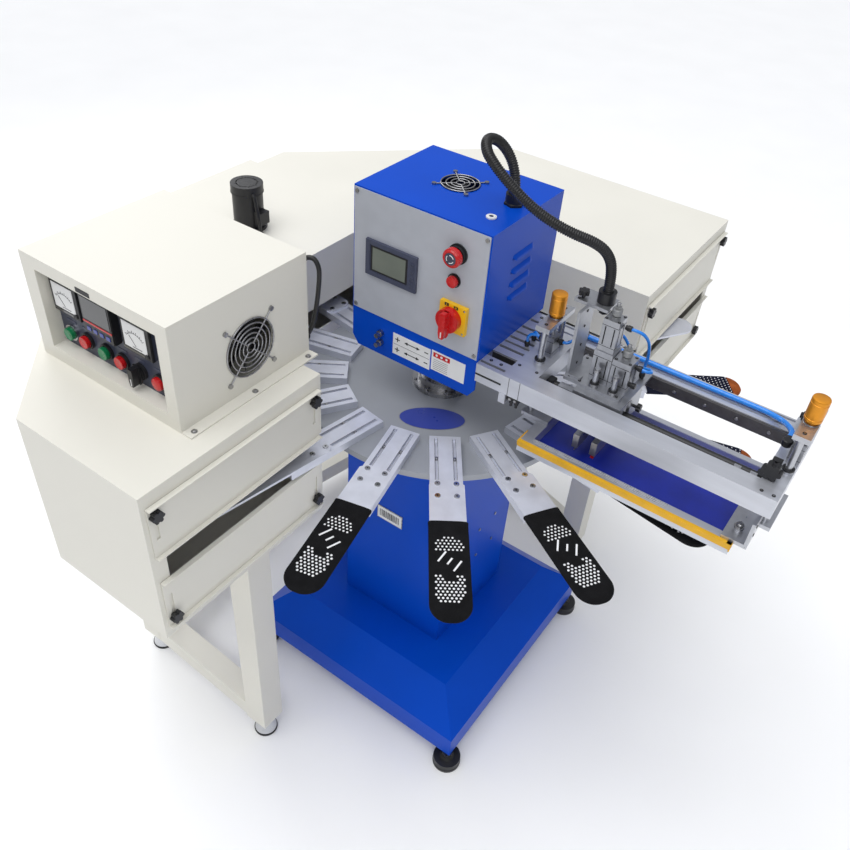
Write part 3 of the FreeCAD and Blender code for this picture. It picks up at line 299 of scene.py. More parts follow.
class Build:
    """A mesh in millimetres, made of blocks, lathed shapes and tubes, each in one look."""

    def __init__(self):
        self.mesh = bmesh.new()
        self.looks = []

    def paint(self, faces, look):
        if look not in self.looks:
            self.looks.append(look)
        for face in faces:
            face.material_index = self.looks.index(look)
            face.smooth = True

    def block(self, low, high, look, soft=0.5):
        """A box between two corners with softened edges."""
        low, high = Vector(low), Vector(high)
        middle, span = (low + high) / 2, high - low
        made = bmesh.ops.create_cube(self.mesh, size=1)["verts"]
        for vertex in made:
            vertex.co = Vector(c * s for c, s in zip(vertex.co, span))
        if soft:
            edges = list({edge for vertex in made for edge in vertex.link_edges})
            made = bmesh.ops.bevel(self.mesh, geom=edges, offset=soft, segments=2, affect="EDGES")["verts"]
        for vertex in made:
            vertex.co += middle
        self.paint({face for vertex in made for face in vertex.link_faces}, look)

    def mark(self, low, high, look="flat_black_and_painted_shade"):
        """A box with crisp edges, for print, plates, seams and painted shade."""
        self.block(low, high, look, soft=0)

    def ring(self, middle, side, other, radius, sides, knurl=0.0):
        """A circle of vertices in the plane of two unit vectors, every second one raised by knurl."""
        row = []
        for step in range(sides):
            turn = 2 * pi * step / sides
            reach = radius + knurl * (step % 2)
            row.append(self.mesh.verts.new(middle + (side * cos(turn) + other * sin(turn)) * reach))
        return row

    def skin(self, rows, closed=True):
        """Quads between neighbouring rows of vertices."""
        faces = []
        for first, second in zip(rows, rows[1:]):
            count = len(first)
            for k in range(count if closed else count - 1):
                after = (k + 1) % count
                faces.append(self.mesh.faces.new((first[k], first[after], second[after], second[k])))
        return faces

    def solid(self, rows, look):
        """Rows of vertices joined into a solid with flat ends."""
        faces = self.skin(rows)
        faces += [self.mesh.faces.new(rows[0]), self.mesh.faces.new(rows[-1])]
        self.paint(faces, look)

    def lathe(self, base, along, profile, look, sides=32, knurl=0.0):
        """Turns (radius, height) pairs about an axis; knurl raises every second line of the widest part."""
        side, other = across(along)
        widest = max(radius for radius, _ in profile)
        self.solid([self.ring(Vector(base) + along * height, side, other, radius, sides,
                              knurl if radius == widest else 0) for radius, height in profile], look)

    def stud(self, base, along, radii, heights, look=STEEL, sides=16):
        """A short round head: its rim has the first radius, its bevelled top the second."""
        low, rim, top = heights
        self.lathe(base, along, [(radii[0], low), (radii[0], rim), (radii[1], top)], look, sides)

    def screw(self, base, along, radius=2.6, look="flat_black_and_painted_shade"):
        """A cap screw with its hexagon socket."""
        self.stud(base, along, (radius, radius * 0.86), (0, 0.8, 1.2), look, sides=18)
        socket = radius * 0.5
        self.lathe(Vector(base) + along * 1.1, along, [(socket, 0), (socket, 0.2)], STEEL, sides=6)

    def washer(self, base, along, inner, outer, tall, look, sides=32):
        """A flat washer or collar with a hole."""
        side, other = across(along)
        rows = [self.ring(Vector(base) + along * height, side, other, radius, sides)
                for radius, height in ((inner, 0), (outer, 0), (outer, tall), (inner, tall))]
        self.paint(self.skin([*rows, rows[0]]), look)

    def tube(self, points, radius, look, sides=14, radii=None):
        """A round tube that follows points, with its own radius at each point if radii says so."""
        points = [Vector(p) for p in points]
        side = None
        rows = []
        for k, point in enumerate(points):
            ahead = (points[min(k + 1, len(points) - 1)] - points[max(k - 1, 0)]).normalized()
            side = across(ahead)[0] if side is None else (side - ahead * side.dot(ahead)).normalized()
            rows.append(self.ring(point, side, ahead.cross(side), radii[k] if radii else radius, sides))
        self.solid(rows, look)

    def slab(self, outline, along, thick, look):
        """A flat outline, given as points, made solid by moving it along a direction."""
        self.solid([[self.mesh.verts.new(Vector(p) + along * rise) for p in outline]
                    for rise in (0, thick)], look)

    def band(self, x, y, half_x, half_y, z, tall):
        """Four thin strips round a square body, so that whatever slides inside it stays clear."""
        thick = 0.45
        for x0, y0, x1, y1 in ((-half_x, -half_y, half_x, thick - half_y),
                               (-half_x, half_y - thick, half_x, half_y),
                               (-half_x, -half_y, thick - half_x, half_y),
                               (half_x - thick, -half_y, half_x, half_y)):
            self.mark((x + x0, y + y0, z), (x + x1, y + y1, z + tall))

    def make(self, name, sharp=None):
        """The finished object, in metres; sharp is the angle beyond which an edge stays crisp."""
        bmesh.ops.recalc_face_normals(self.mesh, faces=self.mesh.faces)
        for vertex in self.mesh.verts:
            vertex.co = at(*vertex.co)
        mesh = bpy.data.meshes.new(name)
        self.mesh.to_mesh(mesh)
        self.mesh.free()
        for look in self.looks:
            mesh.materials.append(LOOKS[look])
        if sharp:
            mesh.set_sharp_from_angle(angle=sharp)
        return placed(name, mesh)

    def done(self, name, slot, body="machine", sharp=0.6):
        """The finished object, riding on its body."""
        piece = self.make(name, sharp)
        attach(piece, body)
        return piece


# ---- hose

HOSE_ROUTE = [
    (111, 6, 1295.3), (111, 6, 1321), (103, 8, 1354), (90, 4, 1383), (76, -15, 1409), (74, -53, 1422),
    (92, -81, 1413), (119, -90, 1397), (147, -91, 1378), (177, -89, 1359), (208, -84, 1342),
    (239, -75, 1328), (267, -61, 1316), (292, -42, 1305), (310, -25, 1289), (321, -14, 1266),
    (324, -9, 1240), (325, -7, 1214), (325, -7, 1190.3),
]
HOSE_RADIUS = 9.5
RIB_DEPTH, RIB_PITCH = 1.9, 4.2
RIB_SHAPE = (0.0, 0.45, 1.0, 0.45)


def spline_points(route):
    """Points in metres along the NURBS line whose control points are the route."""
    curve = bpy.data.curves.new("line", "CURVE")
    curve.dimensions = "3D"
    curve.resolution_u = 16
    spline = curve.splines.new("NURBS")
    spline.points.add(len(route) - 1)
    for control, place in zip(spline.points, route):
        control.co = (*at(*place), 1)
    spline.order_u = 3
    spline.use_endpoint_u = True
    line = bpy.data.objects.new("line", curve)
    mesh = bpy.data.meshes.new_from_object(line)
    points = [vertex.co.copy() for vertex in mesh.vertices]
    bpy.data.objects.remove(line)
    return points


def even_points(points, step):
    """The same line with its points a step apart."""
    out, spare = [points[0]], 0.0
    for start, end in zip(points, points[1:]):
        length = (end - start).length
        while spare + length >= step:
            start = start + (end - start) * ((step - spare) / length)
            out.append(start)
            length = (end - start).length
            spare = 0.0
        spare += length
    return out


def hose():
    """Corrugated conduit: its wall rises and falls every few millimetres along the line."""
    line = spline_points(HOSE_ROUTE)
    total = sum((b - a).length for a, b in zip(line, line[1:]))
    ribs = round(total / (RIB_PITCH / 1000))
    just_short = 0.99999
    path = even_points(line, total / (ribs * len(RIB_SHAPE)) * just_short)
    radii = [HOSE_RADIUS - RIB_DEPTH * RIB_SHAPE[k % len(RIB_SHAPE)] for k in range(len(path))]
    build = Build()
    build.tube([Vector(((p.x - AXIS.x) * 1000, (p.y - AXIS.y) * 1000, p.z * 1000)) for p in path],
               HOSE_RADIUS, "black_rubber", sides=18, radii=radii)
    piece = build.make("corrugated_hose")
    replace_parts(piece, "hose")
    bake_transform(piece)


# ---- socks on their boards

SOCK_CUFF, SOCK_TIP, SOCK_HALF = 441, 656, 36
SOCK_LOW, SOCK_TOP = 861, 872
SOCK_MIDDLE = (SOCK_LOW + SOCK_TOP) / 2
BLACK_SOCKS, NAVY_SOCKS = (15, 0, 1, 2), (3, 4)


def sock_outline(half, wall=0, steps=28):
    """A flat section with round sides, a wall inside the sock's own: (across, height) once round."""
    deep = (SOCK_TOP - SOCK_LOW) / 2 - wall
    points = []
    for step in range(steps):
        turn = 2 * pi * step / steps
        points.append((copysign(abs(cos(turn)) ** 0.35, cos(turn)) * half,
                       SOCK_MIDDLE + copysign(abs(sin(turn)) ** 0.55, sin(turn)) * deep))
    return points


def sock(angle, look, toe_look, seed):
    """One sock from its hem to its toe, lying on a board at an angle."""
    build = Build()
    turn = spin(angle)
    toe_start = SOCK_TIP - SOCK_HALF
    stations = [SOCK_CUFF + reach for reach in (0, 1.2, 5, 6.5)]
    stations += [SOCK_CUFF + 12 + k * (toe_start - SOCK_CUFF - 12) / 22 for k in range(23)]
    stations += [toe_start + SOCK_HALF * sin(radians(a)) for a in range(6, 91, 6)]
    rows = []
    for k, reach in enumerate(stations):
        beyond = max(0.0, reach - toe_start) / SOCK_HALF
        half = SOCK_HALF * sqrt(max(0.0, 1 - beyond ** 2)) if beyond < 1 else 0.4
        squeeze = sqrt(max(0.02, 1 - beyond ** 6))
        hem = 0.0 if k in (1, 2) else 0.35
        row = []
        for offset, height in sock_outline(half - hem):
            crease = noise.noise(Vector((reach / 22, offset / 30, seed * 9.7)))
            fine = noise.noise(Vector((reach / 7, offset / 9, seed * 3.1)))
            drop = (crease * 0.5 + fine * 0.15 - 0.35) * (1 if height > SOCK_MIDDLE + 1.5 else 0)
            level = SOCK_MIDDLE + (height - SOCK_MIDDLE) * squeeze + drop * squeeze
            row.append(build.mesh.verts.new(turn @ Vector((reach, offset, min(level, SOCK_TOP - 0.1)))))
        rows.append(row)
    faces = build.skin(rows)
    build.paint(faces, look)
    if toe_look != look:
        back, toe = turn.transposed(), SOCK_TIP - 24
        build.paint([f for f in faces if (back @ f.calc_center_median()).x > toe], toe_look)
    build.paint([build.mesh.faces.new(rows[-1])], toe_look)
    inner = [[build.mesh.verts.new(turn @ Vector((SOCK_CUFF + depth, offset, height)))
              for offset, height in sock_outline(SOCK_HALF - 2.2, wall=1.8)]
             for depth in (0, 14)]
    build.paint(build.skin([rows[0], *inner]), look)
    return build


def dot(build, turn, x, y, radius):
    """A raised rubber dot on a sock's upper side."""
    top = SOCK_TOP - 0.3
    rows = []
    for share, height in ((1.0, -0.5), (0.92, 0.35), (0.6, 0.7)):
        arms = [polar(radius * share, a) for a in range(0, 360, 45)]
        rows.append([build.mesh.verts.new(turn @ Vector((x + a, y + b, top + height))) for a, b in arms])
    build.paint([*build.skin(rows), build.mesh.faces.new(rows[-1])], "sock_dots")


def dot_places(rows, start, pitch, squeeze, shift):
    """Rows of seven dots along a sock, every second row moved sideways by half a pitch."""
    for row in range(rows):
        for column in range(-3, 4):
            yield row, start + row * pitch * squeeze, column * pitch + (pitch / 2 if row % 2 else 0) - shift


def black_sock_dots(build, turn):
    """Half-moon of dots near the ankle, plain slanted bars in the middle and a cup of dots by the toe."""
    for row, x, y in dot_places(5, 481, 7.2, 0.95, 1):
        if hypot(x - 503, y) < 25.5 and x < 509 and not (abs(y) > 17 and row == 0):
            dot(build, turn, x, y, 2.1)
    slant = spin(-32)
    for x, y, length in ((524, -13, 13), (534, 0, 8), (544, 13, 13)):
        corners = [(-length, -1.6), (length, -1.6), (length, 1.6), (-length, 1.6)]
        build.slab([turn @ (slant @ Vector((a, b, 0)) + Vector((x, y, SOCK_TOP - 0.5))) for a, b in corners],
                   UP, 0.9, "sock_dots")
    for row, x, y in dot_places(9, 566, 7.2, 0.9, 2):
        gap = row < 2 and abs(y) < 10
        outside = abs(y) > 25 or (x > 600 and hypot(x - 598, y) > 26.5)
        if not gap and not outside:
            dot(build, turn, x, y, 2.3)


def navy_sock_dots(build, turn):
    """Small dots in an even grid from the ankle to the coloured toe."""
    for _, x, y in dot_places(22, 456, 8.2, 1, 2):
        if abs(y) < 28 and x < SOCK_TIP - 27:
            dot(build, turn, x, y, 1.35)


def socks():
    first = None
    for station in BLACK_SOCKS + NAVY_SOCKS:
        angle = station_angle(station)
        navy = station in NAVY_SOCKS
        look = "sock_navy" if navy else "sock_black"
        body = sock(angle, look, "sock_orange" if navy else look, station)
        piece = body.done(f"sock_{station:02d}", "sock_knit", "carousel", sharp=1.2)
        dots = Build()
        (navy_sock_dots if navy else black_sock_dots)(dots, spin(angle))
        dots.done(f"sock_dots_{station:02d}", "sock_knit", "carousel")
        first = first or piece
    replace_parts(first, "socks")


# ---- control head

PANEL, APRON = -126, -124
ESTOP, START, ISOLATOR = (86, 1240), (83, 1186), (88, 1112)


def on_panel(spot, out, across=0, up=0):
    """A point that far out from the head's panel, measured from the middle of one of its controls."""
    return spot[0] + across, PANEL - out, spot[1] + up


def head_details():
    build = Build()
    build.mark((-103.5, PANEL - 4.7, 1137.5), (-17.5, PANEL - 4.4, 1190.5))
    build.mark((-99, PANEL - 5.0, 1141), (-22, PANEL - 4.6, 1187), "lcd")
    for z in (1141.5, 1155.5, 1169.5, 1183.5):
        build.stud((-6.5, PANEL - 7, z), FRONT, (3.0, 2.2), (0, 0.5, 0.9), "slate_panel", sides=18)
    build.done("display", "bezel_plastic")

    build = Build()
    build.washer(on_panel(ESTOP, 0), FRONT, 15.3, 19.5, 3, BLACK)
    build.washer(on_panel(ESTOP, 0), FRONT, 15.3, 17, 9.5, BLACK)
    build.washer(on_panel(START, 0), FRONT, 11.7, 13.6, 2.4, BLACK)
    build.done("button_collars", "black_plastic")

    build = Build()
    build.stud(on_panel(ESTOP, 26), FRONT, (11.5, 10.8), (-0.6, 0.5, 0.9), "slate_panel", sides=32)
    for start in (20, 140, 260):
        build.tube([on_panel(ESTOP, 27.1, *polar(7.3, a)) for a in range(start, start + 81, 10)],
                   0.8, "white_plate", sides=6)
    build.washer(on_panel(ESTOP, 22.5), FRONT, 16.0, 17.6, 1.2, "red_plastic")
    build.done("estop_cap_arrows", "red_plastic", "estop_button")

    build = Build()
    build.lathe(on_panel(START, 10.4), FRONT, [(9.8, -0.4), (9.6, 0.7), (7.5, 1.3), (4, 1.6)], "red_plastic")
    build.done("start_cap_crown", "red_plastic", "start_button")

    build = Build()
    build.washer(on_panel(ISOLATOR, 9), FRONT, 12, 27.5, 0.45, "yellow_plastic", sides=48)
    for x, z in ((73, 1135.5), (93, 1134.5)):
        build.block((x, PANEL - 9.8, z), (x + 9, PANEL - 8.9, z + 6), "flat_black_and_painted_shade", soft=0.2)
    build.mark((76.8, PANEL - 10.1, 1137), (78, PANEL - 9.7, 1140), "yellow_plastic")
    build.washer((97.5, PANEL - 9.6, 1137.5), FRONT, 1.0, 1.8, 0.5, "yellow_plastic", sides=16)
    for x, z in ((66.5, 1088.5), (115.5, 1088.5), (115.5, 1137.5)):
        build.stud((x, PANEL - 9, z), FRONT, (2.2, 1.6), (0, 0.4, 0.7))
    build.done("isolator_marks", "yellow_plastic")

    build = Build()
    waist = [(8, 22), (10.5, 14), (10.5, -6), (7.5, -26), (4.5, -33), (-4.5, -33), (-7.5, -26), (-10.5, -6),
             (-10.5, 14), (-8, 22)]
    build.slab([on_panel(ISOLATOR, 23.4, a, b) for a, b in waist], FRONT, 3.5, "red_plastic")
    grip = [(6.6, 20), (6.6, -20), (4.2, -31), (-4.2, -31), (-6.6, -20), (-6.6, 20)]
    build.slab([on_panel(ISOLATOR, 26.5, a, b) for a, b in grip], FRONT, 12.2, "red_plastic")
    build.washer(on_panel(ISOLATOR, 23.3), FRONT, 20, 23.4, 1.0, "red_plastic", sides=40)
    build.mark(on_panel(ISOLATOR, 39.0, -1.1, -28), on_panel(ISOLATOR, 38.5, 1.1, -16), "white_plate")
    build.done("isolator_lever", "red_plastic", "isolator_handle")


def arrow_row(build, face, left, right, z):
    """Plus sign, double arrow and minus sign in one row."""
    proud, half = 0.25, 1.1
    low, high = left + 22, right - 20
    for x0, x1, rise in ((left, left + 11, half), (left + 4.4, left + 6.6, 5.5), (right - 9, right, half),
                         (low + 5, high - 5, 0.9)):
        build.mark((x0, face - proud, z - rise), (x1, face, z + rise))
    for tip, back in ((low, low + 8), (high, high - 8)):
        build.slab([(tip, face, z), (back, face, z + 3.6), (back, face, z - 3.6)], FRONT, proud, "flat_black_and_painted_shade")


def head_plates():
    proud = 0.8
    build = Build()
    build.block((-47, APRON - proud, 967), (44, APRON, 1016), "white_plate", soft=0.25)
    build.mark((-45, APRON - 1.0, 991.2), (42, APRON - 0.7, 991.9))
    for z in (1003.5, 979.5):
        arrow_row(build, APRON - proud, -41, 39, z)
    build.block((47, APRON - proud, 972), (125, APRON, 1018), "white_plate", soft=0.25)
    build.mark((51, APRON - 1.0, 1004), (90, APRON - 0.7, 1014.5), "red_plastic")
    for step in range(3):
        build.lathe((59 + step * 11.5, APRON - 1, 1009.3), FRONT, [(2.7, 0), (2.7, 0.25)], "white_plate",
                    sides=14)
    for step in range(6):
        z = 976 + step * 4.3
        build.mark((52, APRON - 0.95, z), (86, APRON - 0.75, z + 1), "galvanised")
    build.done("apron_plates", "grey_paint")

    build = Build()
    build.block((-52, -145.6, 507), (16, -144.9, 543), "white_plate", soft=0.2)
    ticks = random.Random(4)
    x = -46
    while x < 8:
        wide = ticks.choice((0.9, 1.5, 2.2))
        build.mark((x, -146.0, 515), (x + wide, -145.5, 536))
        x += wide + ticks.choice((1.0, 1.6, 2.4))
    build.done("column_plate", "grey_paint")

    build = Build()
    build.washer((109, -67, 1295), UP, 4.2, 9.6, 2.5, "white_plate")
    build.washer((109, -67, 1297.3), UP, 4.2, 7.4, 0.9, "white_plate")
    build.done("cable_grommet", "grey_paint")

    build = Build()
    build.stud((111, 6, 1295), UP, (19, 17), (0, 4, 6), "black_rubber", sides=6)
    for z, outer, tall in ((1301, 16.6, 15), (1309, 13.4, 12)):
        build.washer((111, 6, z), UP, HOSE_RADIUS + 0.5, outer, tall, "black_rubber", sides=28)
    build.done("hose_gland_nut", "black_plastic")


def louvres():
    """Pressed hoods over the head's vent slots, each a long blister whose lip hides its slot."""
    wall, left, wide, tall, rise = 150.1, -43, 72, 11.5, 5.2
    build = Build()
    for step in range(4):
        top = 1226 - step * 28
        rows = []
        for v in range(5):
            out = rise * sin(radians(v * 22.5))
            row = []
            for share in (u / 20 for u in range(21)):
                end = min(share, 1 - share)
                taper = sin(pi * end / 0.24) if end < 0.12 else 1.0
                z = top - tall * v / 4 * (0.6 + 0.4 * taper)
                row.append(build.mesh.verts.new(Vector((wall + out * taper, left + wide * share, z))))
            rows.append(row)
        rows.append([build.mesh.verts.new(Vector((wall, v.co.y, v.co.z))) for v in rows[-1]])
        build.paint(build.skin(rows, closed=False), "blue_paint")
    build.done("head_louvres", "blue_paint", sharp=0.9)


# ---- turntable

def table_sticker():
    """Blank oval sticker with a pale rim, facing the operator's side of the table."""
    build = Build()
    centre, slant = Vector((59, -121, 848)), spin(33)
    for wide, deep, tall, look in ((69, 36, 0.4, "galvanised"), (67.5, 34.5, 0.7, "sticker_blue")):
        outline = [centre + slant @ Vector((polar(wide, a)[0], polar(deep, a)[1], 0))
                   for a in range(0, 360, 10)]
        build.slab(outline, UP, tall, look)
    build.done("table_sticker", "table_paint", "carousel")


def station_details():
    """Slot linings, cap screws with sockets and washers on every arm."""
    build = Build()
    for station in range(STATIONS):
        turn = spin(station_angle(station))
        for side in (-17.75, 17.75):
            for x in (345, 377):
                base = turn @ Vector((x, side, 869.8))
                build.washer(base, UP, 2.0, 5.3, 1.1, "bright_steel", sides=18)
                build.lathe(base, UP, [(2.0, 0.0), (2.0, 0.2)], "flat_black_and_painted_shade", sides=6)
            build.stud(turn @ Vector((268, side, 858.2)), UP, (3.0, 2.4), (4.0, 5.2, 5.9))
            for edge in (-3.2, 3.2):
                build.tube([turn @ Vector((x, side + edge, 863.4)) for x in (213, 330)], 0.5, STEEL, sides=6)
    build.done("station_hardware", "machined_steel", "carousel")


# ---- screen

SCREEN_LOW, SCREEN_HIGH = 888, 912
CLOTH_X, CLOTH_Y, CLOTH_Z = (262.8, 683.2), (-132.2, 109.2), 888.6


def screen_details():
    top = SCREEN_HIGH
    build = Build()
    strip = [(-135, top - 11), (-135, top + 0.6), (-126.5, top + 0.6), (-126.5, top - 0.4),
             (-132.6, top - 0.4), (-132.6, top - 11)]
    build.slab([(263, y, z) for y, z in strip], ALONG_X, 421.5, "yellow_tape")
    for x0, x1, y1, drop, rise in ((261.4, 264, -96, 9, 0.5), (676, 685, -112, 0.2, 0.6),
                                   (682.8, 685.2, -116, 16, 0.5)):
        build.block((x0, -134.4, top - drop), (x1, y1, top + rise), "yellow_tape", soft=0.3)
    build.done("frame_tape", "mesh_blue", "screen_lift")

    build = Build()
    for y in (-119, -115.4, -111.8):
        build.tube([(286, y, top + 0.25), (560, y, top + 0.25)], 0.7, STEEL, sides=6)
    for y in (-109, 96.2):
        build.mark((286.5, y, SCREEN_LOW + 2), (659.5, y + 0.8, top - 1), "satin_aluminium")
    build.done("frame_ribs", "arm_aluminium", "screen_lift")

    columns, rows = 40, 24
    build = Build()
    grid = []
    for i in range(columns + 1):
        x = CLOTH_X[0] + (CLOTH_X[1] - CLOTH_X[0]) * i / columns
        line = []
        for j in range(rows + 1):
            y = CLOTH_Y[0] + (CLOTH_Y[1] - CLOTH_Y[0]) * j / rows
            free = 285 < x < 661 and -110 < y < 96
            z = CLOTH_Z + (0.25 * noise.noise(Vector((x / 60, y / 60, 3))) if free else 0)
            line.append(build.mesh.verts.new(Vector((x, y, z))))
        grid.append(line)
    build.paint(build.skin(grid, closed=False), "screen_cloth")
    cloth = build.done("screen_cloth_sheet", "mesh_blue", "screen_lift")
    cloth.modifiers.new("thickness", "SOLIDIFY").thickness = 0.0003
    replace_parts(cloth, "screen_mesh")


# ---- print arm and carriage

LIFTS = (238, 711)
LIFT_Y = -8
STROKE_Y = -28


def turned_handles():
    """Gold height knobs and knurled stroke adjusters, each lathed in place of its plain CAD grip."""
    gold = [(10, 0), (10, 5), (13.6, 5.4), (15, 7), (15, 11.6), (14.3, 12.2), (14.3, 13.8), (15, 14.4),
            (15, 40.5), (14.3, 41.1), (14.3, 42.4), (15, 43), (15, 47), (14.2, 49), (12.6, 49.8), (0.8, 49.8)]
    for name, x in zip(("height_knob_near", "height_knob_far"), LIFTS):
        build = Build()
        build.lathe((x, LIFT_Y, 1119), UP, gold, "gold_anodised", sides=72)
        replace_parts(build.done(name + "_turned", "gold_brass", name, sharp=0.5), name)
    barrel = [(8.2, 0), (8.2, 4), (6.2, 4.4), (6.2, 6.2), (9, 6.8), (9, 17), (8.2, 18.4), (4.8, 19),
              (4.8, 22), (3.6, 22.6), (3.6, 29), (2.6, 30)]
    for name, x, z in (("stroke_adjuster_rear", 357, 1177), ("stroke_adjuster_front", 394, 1107)):
        build = Build()
        build.lathe((x, STROKE_Y, z), UP, barrel, "galvanised", sides=48, knurl=0.35)
        build.lathe((x, STROKE_Y, z + 19.2), UP, [(6.4, 0), (6.4, 3.4)], "galvanised", sides=6)
        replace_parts(build.done(name + "_turned", "guide_steel", name, sharp=0.5), name)


def push_in_fitting(build, start, along, neck, long):
    """A fitting's thread, its body and the ring that releases its tube."""
    build.lathe(start, along, [(neck, 0), (neck, 4), (neck + 1.2, 4.6), (neck + 1.2, long),
                               (neck + 0.2, long + 1.4)], BLACK, sides=20)


def smooth_path(points, steps=6):
    """A Catmull-Rom line through points, for short stiff tubes held at both ends."""
    points = [Vector(p) for p in points]
    padded = [points[0] * 2 - points[1], *points, points[-1] * 2 - points[-2]]
    out = []
    for a, b, c, d in zip(padded, padded[1:], padded[2:], padded[3:]):
        for step in range(steps):
            t = step / steps
            out.append(0.5 * (2 * b + (c - a) * t + (2 * a - 5 * b + 4 * c - d) * t ** 2
                              + (3 * b - a - 3 * c + d) * t ** 3))
    out.append(points[-1])
    return out


def air_tubes(name, paths, body="machine"):
    build = Build()
    for path in paths:
        build.tube(smooth_path(path), 3.0, "blue_tube", sides=12)
    build.done(name, "tube_blue", body, sharp=1.2)


def carriage_details():
    build = Build()
    for x, half, low, top in ((357, 18, 1046, 1112), (394, 18, 1046, 1107), (357, 15.5, 1112, 1177)):
        side = STROKE_Y - half
        for z in (low + 11, top - 12):
            build.band(x, STROKE_Y, half + 0.25, half + 0.25, z, 0.9)
        for offset in (-half * 0.55, half * 0.55):
            across_x, across_y = x + offset, STROKE_Y + offset
            build.mark((across_x - 1.1, side - 0.3, low + 14), (across_x + 1.1, side + 0.5, top - 14))
            build.mark((x + half - 0.5, across_y - 1.1, low + 14), (x + half + 0.3, across_y + 1.1, top - 14))
    for x, half, top in ((394, 13.5, 1107), (357, 12, 1177)):
        for across_x in (-half, half):
            for across_y in (-half, half):
                build.screw((x + across_x, STROKE_Y + across_y, top), UP, 2.9)
    for x in (357, 394):
        build.washer((x, -58, 1046), UP, 5.6, 9.5, 7, STEEL)
        build.washer((x, -58, 1053), UP, 5.6, 8.2, 2, "flat_black_and_painted_shade")
        build.washer((x, -58, 1078), UP, 5.05, 7.4, 5, STEEL)
    for x, y, z in ((308, -60, 1046), (308, 12, 1046), (404, 12, 1046), (404, -62, 1046), (330, 12, 1046),
                    (330, -62, 1046), (283, -27, 1186), (283, 6, 1186)):
        build.screw((x, y, z), UP, 2.8)
    for z in (1060, 1100, 1140, 1172):
        build.screw((306, -33, z), ALONG_X)
    for x in (312, 345, 380, 414):
        build.screw((x, -85.5, 1021), FRONT, 2.8)
    build.lathe((325, -7, 1164), UP, [(9, 0), (9, 4), (12.5, 5), (12.5, 11), (8.8, 12), (8.8, 16)], BLACK,
                sides=6)
    build.done("carriage_hardware", "guide_steel", "carriage")

    build = Build()
    for start, along in (((375, -18, 1160), ALONG_X), ((412, -20, 1092), ALONG_X),
                         ((412, -34, 1062), ALONG_X), ((357, -12.5, 1125), ALONG_Y),
                         ((412, 30, 1040), UP), ((400, 8, 1046), UP), ((392, 34, 1040), UP)):
        push_in_fitting(build, start, along, 4.4, 11)
    build.done("push_fittings", "black_plastic", "carriage")
    air_tubes("carriage_air_tubes", (
        ((387, -18, 1160), (396, -17, 1160), (408, -8, 1152), (415, 8, 1130), (416, 22, 1095),
         (413, 29, 1066), (412, 30, 1052)),
        ((424, -20, 1092), (433, -19, 1091), (438, -8, 1086), (430, 6, 1080), (412, 10, 1074),
         (402, 9, 1066), (400, 8, 1058)),
        ((357, 0, 1125), (358, 10, 1124), (366, 22, 1112), (380, 31, 1086), (390, 34, 1066),
         (392, 34, 1052))), "carriage")


# Front edge, width and floor height of each groove along the beam's upper side.
BEAM_GROOVES = [(-118, 6, 1027), (-91, 21, 1006), (-51, 7, 1027), (-30, 6, 1027), (-11, 7, 1027),
                (12, 6, 1027), (35, 7, 1027), (67, 7, 1027)]


